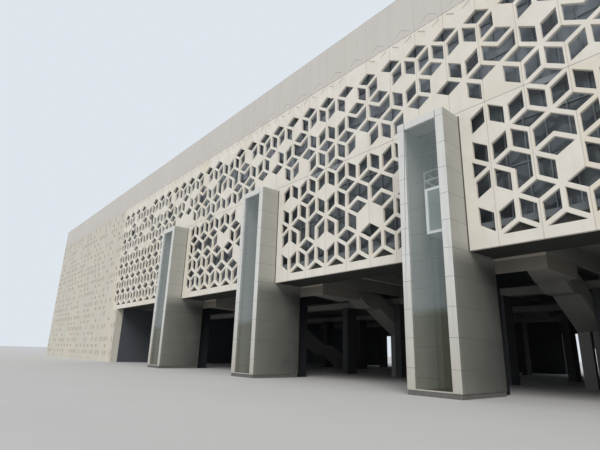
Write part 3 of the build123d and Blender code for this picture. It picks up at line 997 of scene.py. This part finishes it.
@dataclass
class CubePattern:
    """The cast pattern of cubes, each a diamond over two leaning cells.

    Attributes:
        inset: How far a recess or an opening stays inside its cell.
        half: Half the width of a cube.
        rise: Half the height of a diamond.
    """

    inset: float
    half: float = PANEL / 2
    rise: float = ROW / 3

    def outline(self, cell: Cell, inset: float) -> list[Span]:
        """Gives a cell's corners, set in from its edges.

        Args:
            cell: Which cell of the cube.
            inset: How far the outline is set in.

        Returns:
            The corners, counterclockwise, from the cell's own centre.
        """
        half, rise = self.half, self.rise
        slant = math.hypot(half, rise)
        if cell is Cell.DIAMOND:
            across = half - inset * slant / rise
            high = rise - inset * slant / half
            return [(-across, 0.0), (0.0, -high), (across, 0.0), (0.0, high)]
        run = half - 2 * inset
        drop = run * rise / half
        tall = 2 * rise - 2 * inset * slant / half
        left = [
            (-run / 2, drop / 2 + tall / 2), (-run / 2, drop / 2 - tall / 2),
            (run / 2, -drop / 2 - tall / 2), (run / 2, -drop / 2 + tall / 2),
        ]
        if cell is Cell.LEFT:
            return left
        return [(-x, y) for x, y in reversed(left)]

    def centre(self, cell: Cell) -> Span:
        """Gives a cell's centre from the centre of its cube's diamond."""
        side = {Cell.DIAMOND: 0, Cell.LEFT: -1, Cell.RIGHT: 1}[cell]
        return (side * self.half / 2, -1.5 * self.rise * abs(side))

    def tile(self, cell: Cell, depth: float, through: bool) -> Piece:
        """Makes one tile of the pattern: a frame of bars around a recess or an opening.

        Args:
            cell: Which cell of the cube.
            depth: How deep the recess or the opening is.
            through: Whether the tile is open at the back.

        Returns:
            The tile in the XY plane, with its face towards +Z.
        """
        mesh = bmesh.new()
        outer, inner = self.outline(cell, 0.0), self.outline(cell, self.inset)
        rings = [add_ring(mesh, outer, 0.0), add_ring(mesh, inner, 0.0), add_ring(mesh, inner, -depth)]
        if through:
            rings.append(add_ring(mesh, outer, -depth))
        else:
            mesh.faces.new(rings[2])
        for first, second in zip(rings, rings[1:]):
            add_band(mesh, first, second)
        return mesh_object(f"tile_{cell.value}", mesh)

    def plain_tile(self, cell: Cell, depth: float, through: bool) -> Piece:
        """Makes one plain tile.

        Args:
            cell: Which cell of the cube.
            depth: The wall's depth.
            through: Whether the wall has a back, which the tile then closes too.

        Returns:
            The tile in the XY plane, with its face towards +Z.
        """
        mesh = bmesh.new()
        corners = self.outline(cell, 0.0)
        mesh.faces.new(add_ring(mesh, corners, 0.0))
        if through:
            mesh.faces.new(add_ring(mesh, reversed(corners), -depth))
        return mesh_object(f"plain_{cell.value}", mesh)

    def prism(self, cell: Cell, depth: float) -> Piece:
        """Makes a closed prism that cuts one pit.

        Args:
            cell: Which cell of the cube.
            depth: The pit's depth below the face.

        Returns:
            The prism around the XY plane, deep below it and as much above.
        """
        mesh = bmesh.new()
        corners = self.outline(cell, self.inset)
        low, high = add_ring(mesh, corners, -depth), add_ring(mesh, corners, depth)
        mesh.faces.new(high)
        mesh.faces.new(low[::-1])
        add_band(mesh, low, high)
        return mesh_object(f"prism_{cell.value}", mesh)


def stand_up(face: Face, along: float, plane: float, base: float) -> Matrix:
    """Gives the matrix that stands a flat piece up on one side of the building.

    Args:
        face: The side that the piece looks to.
        along: Where the piece's origin goes along the wall.
        plane: Where its face goes across the wall.
        base: The height of its origin.

    Returns:
        The matrix, which turns +X to the right, +Y up and +Z outwards.
    """
    normal = Vector((*face.value, 0.0))
    up = Vector((0.0, 0.0, 1.0))
    turn = Matrix((up.cross(normal), up, normal)).transposed().to_4x4()
    long_wall = face in (Face.FRONT, Face.REAR)
    place = Vector((along, plane, base) if long_wall else (plane, along, base))
    return Matrix.Translation(place) @ turn


@dataclass
class PatternedWall:
    """A rectangle of the cast pattern that faces one way, with a plain border.

    Attributes:
        name: The piece's name.
        face: The way that it looks.
        along: Its extent along the wall, in world X or Y.
        high: Its extent in height.
        plane: The world Y or X of its face.
        depth: The depth of its recesses or openings.
        plain_share: The share of cells that are plain.
        inset: How far a recess or an opening stays inside its cell.
        seed: The seed for which cells are plain.
        border: The width of the plain border.
        through: Whether its cells are open at the back.
        spare: How many columns and rows more are made, because the cut takes them away.
    """

    name: str
    face: Face
    along: Span
    high: Span
    plane: float
    depth: float
    plain_share: float
    inset: float
    seed: int
    border: float = 0.03
    through: bool = False
    spare: int = 5

    def build(self, repeat: RepeatTree, finishes: Finishes, *names: str) -> Piece:
        """Builds the wall from repeated tiles, cut to its rectangle.

        Args:
            repeat: The tree that repeats a shape on a grid.
            finishes: The finishes.
            *names: The finish of the wall and, where it differs, that of its recesses, a darker painted
                    shade.

        Returns:
            The wall.
        """
        pattern = CubePattern(self.inset)
        along = round(sum(self.along) / 2 / PANEL) * PANEL
        middle = sum(self.high) / 2
        base = PANEL_JOINT + round((middle - PANEL_JOINT) / (2 * ROW)) * 2 * ROW
        columns = 2 * math.ceil((self.along[1] - self.along[0]) / PANEL / 2) + self.spare
        rows = 4 * math.ceil((self.high[1] - self.high[0]) / ROW / 4) + self.spare
        wall = bmesh.new()
        for number, cell in enumerate(Cell):
            shape = pattern.tile(cell, self.depth, self.through)
            plain = pattern.plain_tile(cell, self.depth, self.through)
            cells = repeat.run(
                f"{self.name}_{cell.value}", Shape=shape, Plain_Shape=plain, Columns=columns,
                Rows=rows, Across=PANEL, Up=ROW, Odd_Row_Shift=PANEL / 2,
                Plain_Share=self.plain_share, Seed=self.seed + number,
                Finish=finishes.materials[names[0]],
            )
            cells.data.transform(Matrix.Translation((*pattern.centre(cell), 0.0)))
            wall.from_mesh(cells.data)
            discard(shape, plain, cells)
        bmesh.ops.remove_doubles(wall, verts=wall.verts, dist=10 * SAME)
        flip = -1 if self.face in (Face.REAR, Face.WEST) else 1
        sides = sorted(flip * (end - along) for end in self.along)
        self._cut_and_frame(wall, sides, [end - base for end in self.high])
        bmesh.ops.transform(
            wall, matrix=stand_up(self.face, along, self.plane, base), verts=wall.verts
        )
        made = mesh_object(self.name, wall)
        finishes.dress(made, *names)
        # The recesses' faces take the second finish, as painted shade.
        if len(names) > 1:
            outwards = Vector((*self.face.value, 0.0))
            floors = self.plane * sum(self.face.value) - self.depth / 5
            for face in made.data.polygons:
                face.material_index = int(face.center.dot(outwards) < floors)
        return made

    def _cut_and_frame(self, wall: Mesh, sides: Sequence[float], ends: Sequence[float]) -> None:
        """Cuts the pattern to the wall's rectangle and puts the plain border around it.

        Args:
            wall: The pattern around the origin.
            sides: The rectangle's extent in X.
            ends: The rectangle's extent in Y.
        """
        left, right = sides[0] + self.border, sides[1] - self.border
        low, high = ends[0] + self.border, ends[1] - self.border
        for point, normal in (
            ((left, 0.0, 0.0), (-1.0, 0.0, 0.0)), ((right, 0.0, 0.0), (1.0, 0.0, 0.0)),
            ((0.0, low, 0.0), (0.0, -1.0, 0.0)), ((0.0, high, 0.0), (0.0, 1.0, 0.0)),
        ):
            slice_mesh(wall, point, normal, trim=True)
        for near, far in (
            ((sides[0], ends[0]), (left, ends[1])), ((right, ends[0]), (sides[1], ends[1])),
            ((left, ends[0]), (right, low)), ((left, high), (right, ends[1])),
        ):
            add_box(wall, (*near, -self.depth), (*far, 0.0))


@dataclass
class PitRow:
    """A row of shallow pits just above the open cells, smaller than the cells.

    Attributes:
        cells: Which cells of the cube have a pit.
        inset: How far a pit stays inside its cell.
        depth: The depth of a pit.
        height: The height of the row's diamonds.
    """

    cells: tuple[Cell, ...]
    inset: float
    depth: float
    height: float = PANEL_JOINT + 4 * ROW

    def cutter(self, repeat: RepeatTree, finish: bpy.types.Material, node: str) -> Piece:
        """Makes the closed shapes that cut the pits into a node's front.

        Args:
            repeat: The tree that repeats a shape on a grid.
            finish: A material for the shapes.
            node: The CAD node.

        Returns:
            One object with all the shapes.
        """
        low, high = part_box(node)
        pattern = CubePattern(self.inset)
        shapes = bmesh.new()
        first = math.ceil((low.x + PANEL / 2) / PANEL)
        last = math.floor((high.x - PANEL / 2) / PANEL)
        for cell in self.cells:
            shape = pattern.prism(cell, self.depth)
            row = repeat.run("pits", Shape=shape, Columns=last - first + 1, Across=PANEL, Finish=finish)
            across, up = pattern.centre(cell)
            along = (first + last) / 2 * PANEL + across
            row.data.transform(stand_up(Face.FRONT, along, low.y, self.height + up))
            shapes.from_mesh(row.data)
            discard(shape, row)
        return mesh_object("pit_cutter", shapes)


# Sub-assemblies


@dataclass
class SubAssembly:
    """What every sub-assembly is built from.

    Attributes:
        nodes: The CAD nodes by name.
        finishes: The finishes.
        repeat: The tree that repeats a shape on a grid.
    """

    nodes: dict[str, Piece]
    finishes: Finishes
    repeat: RepeatTree

    def copy(self, node: str, name: str) -> Piece:
        """Copies a CAD node under a new name, as flat-shaded solids with merged corners."""
        return mesh_object(name, merged_mesh(self.nodes[node]))


@dataclass
class CarriedNodes(SubAssembly):
    """The CAD nodes that stay as they are and get a finish.

    Attributes:
        wearers: The nodes that wear each finish.
    """

    wearers: dict[str, tuple[str, ...]] = field(default_factory=lambda: {
        # hall_painted_shade is near black, as painted shade.
        "hall_painted_shade": ("inner_walls", "cross_walls"),
        # slab_edge_painted_light and storey_edge_painted_light are painted light.
        "slab_edge_painted_light": ("concourse_front_floor",),
        "storey_edge_painted_light": ("upper_floor",),
        "roof_membrane": ("roof_slab",),
        "lower_window": ("lower_front_glazing", "rear_glazing"),
        "upper_window": ("upper_front_glazing",),
        # soffit_painted_shade, deck_concrete and column_painted_shade are near black, as painted shade under
        # the deck.
        "soffit_painted_shade": ("front_edge_beams",),
        "deck_soffit": ("concourse_floor", "deck_girders", "cross_beams"),
        "deck_concrete": ("rear_edge_beam", "platform_columns", "rear_base_piers", "portal_lintels"),
        "column_painted_shade": ("head_columns",),
        "stair_concrete": ("platform_stairs", "stair_balustrades", "stair_piers"),
        "tower_warm_grey": ("tower_caps",),
        "plinth_stone": ("tower_plinths",),
        "tower_window": ("tower_glazing",),
        "guide_steel": ("guide_rails",),
        "car_white": ("lift_car_frame",),
        "car_window": ("lift_car_glass",),
        "car_rail": ("lift_car_rail",),
    })

    def build(self) -> None:
        """Dresses the nodes."""
        for finish, wearers in self.wearers.items():
            for name in wearers:
                self.finishes.dress(self.nodes[name], finish)
            log.info("%s on %s", finish, ", ".join(wearers))


@dataclass
class FrontScreens(SubAssembly):
    """The pierced front screens, with a small arris on every edge and a row of pits on top.

    Attributes:
        arris: The width of the arris.
        lower: The CAD nodes of the lower screens.
        upper: The CAD nodes of the upper screens.
        pits: The row of pits below the parapet.
    """

    arris: float = 0.0014
    lower: tuple[str, ...] = (
        "lower_screen_west_wing", "lower_screen_west_bay", "lower_screen_east_bay",
        "lower_screen_east_wing", "screen_head_panels",
    )
    upper: tuple[str, ...] = ("upper_screen_west", "upper_screen_middle", "upper_screen_east")
    pits: PitRow = field(default_factory=lambda: PitRow((Cell.LEFT, Cell.RIGHT), 0.03, 0.005))

    def build(self) -> None:
        """Builds the screens in place of the CAD nodes."""
        finish = self.finishes.materials["cream_screen"]
        for name in self.lower + self.upper:
            piece = self.copy(name, f"cast_{name}")
            if name in self.upper:
                cut_away(piece, self.pits.cutter(self.repeat, finish, name))
            add_arris(piece, self.arris)
            self.finishes.dress(piece, "cream_screen")
            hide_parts(name)
            ride_and_slot(piece, "building")


@dataclass
class Parapets(SubAssembly):
    """The smooth parapet with faint diamond pits at its foot and a metal coping on top.

    Attributes:
        arris: The width of the arris.
        pits: The row of diamond pits on the front.
        coping: How far below the top the coping's faces reach.
    """

    arris: float = 0.0014
    pits: PitRow = field(default_factory=lambda: PitRow((Cell.DIAMOND,), 0.024, 0.0022))
    coping: float = 0.002

    def build(self) -> None:
        """Builds the parapets in place of the CAD nodes."""
        finish = self.finishes.materials["smooth_parapet"]
        for name in ("long_parapets", "end_parapets"):
            piece = self.copy(name, f"smooth_{name}")
            if name == "long_parapets":
                cut_away(piece, self.pits.cutter(self.repeat, finish, name))
            add_arris(piece, self.arris)
            self.finishes.dress(piece, "smooth_parapet", "coping_metal")
            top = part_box(name)[1].z
            for face in piece.data.polygons:
                face.material_index = int(face.center.z > top - self.coping)
            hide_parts(name)
            ride_and_slot(piece, "building")


@dataclass
class ReliefWalls(SubAssembly):
    """The shallow relief on the solid ends and the rear, and the pierced rear screen.

    Attributes:
        relief: The depth of the relief.
        clearance: How far the wall behind lies below the pits' floors.
        plain_share: The share of plain cells in the relief.
        inset: How far a pit stays inside its cell.
        rear_plain_share: The share of closed cells in the rear screen.
        rear_inset: How far an opening of the rear screen stays inside its cell.
        rear_border: The width of the rear screen's plain border.
        rear_seed: The seed for which cells of the rear screen are closed.
    """

    relief: float = 0.005
    clearance: float = 0.001
    plain_share: float = 0.4
    inset: float = 0.034
    rear_plain_share: float = 0.16
    rear_inset: float = 0.0135
    rear_border: float = 0.06
    rear_seed: int = 91

    def build(self) -> None:
        """Builds the walls in place of the CAD walls."""
        for name in ("end_front_walls", "end_walls", "end_rear_walls"):
            piece = self.copy(name, f"backing_{name}")
            self._set_back(piece)
            self.finishes.dress(piece, "relief_wall")
            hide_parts(name)
            ride_and_slot(piece, "building")
        for number, (label, *place) in enumerate(self._fields()):
            wall = PatternedWall(
                f"relief_{label}", *place, self.relief, self.plain_share, self.inset,
                seed=10 * number + 3,
            )
            made = wall.build(self.repeat, self.finishes, "relief_wall", "relief_pit_painted_shade")
            ride_and_slot(made, "building")
        low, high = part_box("rear_screen")
        screen = PatternedWall(
            "pierced_rear_screen", Face.REAR, (low.x, high.x), (low.z, high.z), high.y,
            high.y - low.y, self.rear_plain_share, self.rear_inset, self.rear_seed,
            self.rear_border, through=True,
        ).build(self.repeat, self.finishes, "cream_screen")
        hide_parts("rear_screen")
        ride_and_slot(screen, "building")

    def _fields(self) -> list[tuple[str, Face, Span, Span, float]]:
        """Lists the rectangles of relief.

        Returns:
            For each, its name, its side, its extents along the wall and in height, and its plane.
        """
        low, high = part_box("end_front_walls")
        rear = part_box("end_rear_walls")[1].y
        open_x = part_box("rear_screen")[1].x
        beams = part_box("front_edge_beams")
        gate_x = max(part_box("tower_side_walls")[1].x, beams[1].x)
        tall, short = (low.z, high.z), (low.z, beams[0].z)
        sides = (low.y + self.relief, rear - self.relief)
        return [
            ("front_west", Face.FRONT, (low.x, -open_x), tall, low.y),
            ("front_east", Face.FRONT, (open_x, high.x), tall, low.y),
            ("gate_west", Face.FRONT, (-open_x, -gate_x), short, low.y),
            ("gate_east", Face.FRONT, (gate_x, open_x), short, low.y),
            ("rear_west", Face.REAR, (low.x, -open_x), tall, rear),
            ("rear_east", Face.REAR, (open_x, high.x), tall, rear),
            ("end_west", Face.WEST, sides, tall, low.x),
            ("end_east", Face.EAST, sides, tall, high.x),
        ]

    def _set_back(self, piece: Piece) -> None:
        """Sets the outer faces of a wall's copy back, so that they lie behind the relief.

        Args:
            piece: The copy.
        """
        low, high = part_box("end_front_walls")
        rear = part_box("end_rear_walls")[1].y
        back = self.relief + self.clearance
        for corner in piece.data.vertices:
            x, y = corner.co.x, corner.co.y
            if abs(abs(x) - high.x) < 100 * SAME:
                corner.co.x = math.copysign(high.x - back, x)
            if abs(y - low.y) < 100 * SAME:
                corner.co.y = low.y + back
            if abs(y - rear) < 100 * SAME:
                corner.co.y = rear - back


@dataclass
class TowerFronts(SubAssembly):
    """The white front frames of the lift towers, with a greyer return round the corner, and painted shade at
    their foot.

    Attributes:
        arris: The width of the arris.
        half_width: Half of a tower's width, less a little.
        joint_width: The width of the short joints beside the head.
        joint_depth: The depth of those joints.
        joint_faces: How far behind the front the middles of a joint's faces lie, from and to.
        slack: How far beside a joint its faces may lie.
        overlap: How far the shapes that cut the joints stand out of the frame.
        sill: The height of the white sill at the foot of each window.
        sill_depth: How far a sill comes in front of the glass, from and to.
    """

    arris: float = 0.0012
    half_width: float = 0.16
    joint_width: float = 0.0035
    joint_depth: float = 0.002
    joint_faces: Span = (0.0004, 0.003)
    slack: float = 0.0002
    overlap: float = 0.01
    sill: float = 0.007
    sill_depth: Span = (0.0002, 0.002)

    def build(self) -> None:
        """Builds the frames in place of the CAD node, and the sills."""
        piece = self.copy("tower_front_frames", "white_front_frames")
        cut_away(piece, self._joints())
        add_arris(piece, self.arris)
        self.finishes.dress(piece, "tower_white", "tower_return", "open_joint_painted_shade")
        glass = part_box("tower_glazing")[1]
        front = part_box("tower_front_frames")[0].y
        for face in piece.data.polygons:
            across = abs(from_axis(face.center.x))
            beside = abs(across - (glass.x - BAY)) < self.joint_width / 2 + self.slack
            sunk = self.joint_faces[0] < face.center.y - front < self.joint_faces[1]
            if across > self.half_width and abs(face.normal.x) > LOOKS_ALONG:
                face.material_index = 1
            # A joint's faces take open_joint_painted_shade, painted shade in the groove.
            elif beside and sunk and face.center.z > glass.z:
                face.material_index = 2
        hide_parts("tower_front_frames")
        ride_and_slot(piece, "building")
        self._sills()

    def _sills(self) -> None:
        """Builds the thin white sills at the foot of the windows."""
        low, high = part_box("tower_glazing")
        half = high.x - BAY
        near, far = self.sill_depth
        sills = bmesh.new()
        for x in (bay * BAY for bay in BAYS):
            add_box(sills, (x - half, low.y - far, low.z), (x + half, low.y - near, low.z + self.sill))
        piece = mesh_object("window_sills", sills)
        self.finishes.dress(piece, "tower_white")
        ride_and_slot(piece, "building")

    def _joints(self) -> Piece:
        """Makes the closed shapes that cut the short upright joints beside each head.

        Returns:
            One object with all the shapes.
        """
        low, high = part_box("tower_front_frames")
        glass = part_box("tower_glazing")[1]
        foot, top = glass.z + self.joint_depth, high.z + self.overlap
        front, floor = low.y - self.overlap, low.y + self.joint_depth
        half = self.joint_width / 2
        shapes = bmesh.new()
        for bay in BAYS:
            for side in (-1, 1):
                x = bay * BAY + side * (glass.x - BAY)
                add_box(shapes, (x - half, front, foot), (x + half, floor, top))
        return mesh_object("joint_cutter", shapes)


@dataclass
class TowerShafts(SubAssembly):
    """The metal side and back walls of the lift towers, lined with a paler sheet inside, with painted shade
    at their foot and towards the back.

    Attributes:
        half_inside: Half of a shaft's width, and a little more.
        lining: How far past the back wall's inner face a lined face may lie.
    """

    half_inside: float = 0.152
    lining: float = 0.001

    def build(self) -> None:
        """Builds the walls in place of the CAD nodes."""
        inner_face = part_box("tower_back_walls")[0].y
        for name in ("tower_side_walls", "tower_back_walls"):
            piece = self.copy(name, f"sheeted_{name}")
            self.finishes.dress(piece, "tower_warm_grey", "shaft_lining")
            for face in piece.data.polygons:
                inside = abs(from_axis(face.center.x)) < self.half_inside
                side = inside and abs(face.normal.x) > LOOKS_ALONG
                back = name == "tower_back_walls" and face.center.y < inner_face + self.lining
                face.material_index = int(side or back)
            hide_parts(name)
            ride_and_slot(piece, "building")


@dataclass
class CrossHeads(SubAssembly):
    """The wide heads that carry the deck, with a pale band on top of the front as a painted highlight, and
    painted shade under them.

    Attributes:
        highlight_band: The height of the pale band on top of the front, a painted highlight.
        edge: How far from a head's axis the painted deep shade below it ends, at the front and the back.
    """

    highlight_band: float = 0.018
    edge: Span = (0.365, 0.21)

    def build(self) -> None:
        """Builds the heads in place of the CAD node."""
        low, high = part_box("cross_heads")
        highlight_foot = high.z - self.highlight_band
        mesh = merged_mesh(self.nodes["cross_heads"])
        slice_mesh(mesh, (0.0, 0.0, highlight_foot), (0.0, 0.0, 1.0))
        slant = Vector((high.y - low.y, self.edge[0] - self.edge[1], 0.0)).normalized()
        corners = [Vector((bay * BAY + self.edge[0], low.y, 0.0)) for bay in BAYS]
        for corner in corners:
            slice_mesh(mesh, corner, slant)
        piece = mesh_object("cast_cross_heads", mesh)
        self.finishes.dress(
            piece, "cross_head_concrete", "ledge_painted_highlight", "stair_concrete", "shaded_concrete"
        )
        for face in piece.data.polygons:
            corner = corners[round(face.center.x / BAY) + 1]
            # A painted highlight on the top band of the front, and painted shade on part of the underside.
            if face.normal.y < -LOOKS_ALONG and face.center.z > highlight_foot:
                face.material_index = 1
            elif face.normal.z < -LOOKS_ALONG:
                face.material_index = 2 if (face.center - corner).dot(slant) > 0 else 3
        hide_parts("cross_heads")
        ride_and_slot(piece, "building")


@dataclass
class WindowBars(SubAssembly):
    """The window bars behind the front screens and in front of the rear glass.

    Attributes:
        pitch: The distance between uprights.
        width: The width of a bar.
        depth: The depth of an upright.
        transom_depth: The depth of a transom.
        levels: The heights of the transoms above a sheet's foot.
    """

    pitch: float = PANEL / 2
    width: float = 0.006
    depth: float = 0.012
    transom_depth: float = 0.0096
    levels: tuple[float, ...] = (0.0, 0.33, 0.61)

    def build(self) -> None:
        """Builds the bars in front of each sheet of glass."""
        for node, side in (("lower_front_glazing", -1), ("upper_front_glazing", -1), ("rear_glazing", 1)):
            low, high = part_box(node)
            glass = low.y if side < 0 else high.y
            bars = bmesh.new()
            self._uprights(bars, low, high, sorted((glass, glass + side * self.depth)))
            near, far = sorted((glass, glass + side * self.transom_depth))
            for z in (*(low.z + level for level in self.levels), high.z - self.width):
                add_box(bars, (low.x, near, z), (high.x, far, z + self.width))
            piece = mesh_object(f"bars_{node}", bars)
            self.finishes.dress(piece, "window_frame")
            ride_and_slot(piece, "building")

    def _uprights(self, bars: Mesh, low: Vector, high: Vector, y: Sequence[float]) -> None:
        """Adds the uprights of one sheet of glass.

        Args:
            bars: The bmesh to add to.
            low: The lowest corner of the glass.
            high: The highest corner of the glass.
            y: The extent of a bar in Y.
        """
        one = bmesh.new()
        add_box(one, (-self.width / 2, y[0], low.z), (self.width / 2, y[1], high.z))
        shape = mesh_object("upright", one)
        row = self.repeat.run(
            "uprights", Shape=shape, Columns=int((high.x - low.x) / self.pitch), Across=self.pitch,
            Finish=self.finishes.materials["window_frame"],
        )
        bars.from_mesh(row.data)
        discard(shape, row)


# Studio


@dataclass
class Studio:
    """The pale floor, the soft light and the camera.

    Attributes:
        floor_reach: How far the floor reaches each way.
        floor_tones: The two tones of the floor.
        daylight: The colour of the light from the sky.
        daylight_strength: Its strength.
        backdrop: The pale colour that the camera sees behind the building.
        sun: The colour of the soft sun.
        sun_energy: Its strength.
        sun_size: How wide it is, in degrees.
        sun_turn: How far it leans and how far it is turned round, in degrees.
        camera_place: Where the camera stands.
        right: The camera's right in the world.
        down: The camera's down in the world.
        ahead: The camera's line of sight in the world.
        lens: The focal length on the sensor.
        sensor: The width of the sensor in millimetres.
        clip: The nearest and the farthest distance that the camera sees.
    """

    floor_reach: float = 120.0
    floor_tones: tuple[Colour, Colour] = ((0.53, 0.525, 0.51), (0.57, 0.565, 0.55))
    daylight: Colour = (0.88, 0.92, 1.0)
    daylight_strength: float = 0.68
    backdrop: Colour = (0.735, 0.79, 0.845)
    sun: Colour = (1.0, 0.965, 0.91)
    sun_energy: float = 1.7
    sun_size: float = 32.0
    sun_turn: Span = (50.0, 42.0)
    camera_place: tuple[float, float, float] = (3.385, -5.207, 0.2113)
    right: tuple[float, float, float] = (0.6503, 0.7592, 0.0272)
    down: tuple[float, float, float] = (-0.1978, 0.2037, -0.9589)
    ahead: tuple[float, float, float] = (-0.7335, 0.6181, 0.2826)
    lens: float = 26.147
    sensor: float = 36.0
    clip: Span = (0.01, 500.0)

    def build(self) -> None:
        """Builds the floor, the lights and the camera."""
        self._floor()
        self._sky()
        self._sun()
        self._camera()
        bpy.context.scene.view_settings.view_transform = "Standard"

    def _floor(self) -> None:
        """Builds the pale floor."""
        mesh = bmesh.new()
        reach = self.floor_reach
        corners = ((-reach, -reach), (reach, -reach), (reach, reach), (-reach, reach))
        mesh.faces.new(add_ring(mesh, corners, 0.0))
        floor = mesh_object("studio_floor", mesh)
        write = Surface("studio_floor")
        noise = write.add("ShaderNodeTexNoise", {"Vector": write.position(), "Scale": 2.0})
        write.set(Base_Color=write.mix(noise.outputs[0], *self.floor_tones), Roughness=0.9)
        floor.data.materials.append(write.material)

    def _sky(self) -> None:
        """Builds the soft daylight, and the pale tone that shows behind the building."""
        world = bpy.data.worlds.new("studio_light")
        bpy.context.scene.world = world
        world.use_nodes = True
        world.node_tree.nodes.clear()
        write = NodeTree(world.node_tree)
        path = write.add("ShaderNodeLightPath").outputs
        seen = write.math("MAXIMUM", path["Is Camera Ray"], path["Is Transmission Ray"])
        seen = write.math("MAXIMUM", seen, path["Is Glossy Ray"])
        shaders = {0: seen}
        tones = ((self.daylight, self.daylight_strength), (self.backdrop, 1.0))
        for number, (colour, strength) in enumerate(tones, start=1):
            tone = write.add("ShaderNodeBackground", {"Color": (*colour, 1.0), "Strength": strength})
            shaders[number] = tone.outputs[0]
        blend = write.add("ShaderNodeMixShader", shaders)
        write.add("ShaderNodeOutputWorld", {"Surface": blend.outputs[0]})

    def _sun(self) -> None:
        """Builds the soft sun."""
        sun = bpy.data.lights.new("soft_sun", "SUN")
        sun.energy = self.sun_energy
        sun.angle = math.radians(self.sun_size)
        sun.color = self.sun
        lamp = bpy.data.objects.new("soft_sun", sun)
        lean, turn = self.sun_turn
        lamp.rotation_euler = (math.radians(lean), 0.0, math.radians(turn))
        bpy.context.scene.collection.objects.link(lamp)

    def _camera(self) -> None:
        """Builds the camera at the photograph's place and angle."""
        camera = bpy.data.cameras.new("photo_view")
        camera.sensor_width = self.sensor
        camera.lens = self.lens
        camera.clip_start, camera.clip_end = self.clip
        holder = bpy.data.objects.new("photo_view", camera)
        columns = (Vector(self.right), -Vector(self.down), -Vector(self.ahead))
        turn = Matrix(columns).transposed().to_4x4()
        holder.matrix_world = Matrix.Translation(self.camera_place) @ turn
        bpy.context.scene.collection.objects.link(holder)
        bpy.context.scene.camera = holder


def main() -> None:
    logging.basicConfig(level=logging.INFO)
    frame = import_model()
    finishes = Finishes()
    repeat = RepeatTree()
    Studio().build()
    for part in (
        CarriedNodes, FrontScreens, Parapets, ReliefWalls, TowerFronts, TowerShafts, CrossHeads, WindowBars,
    ):
        part(frame["nodes"], finishes, repeat).build()


if __name__ == "__main__":
    main()
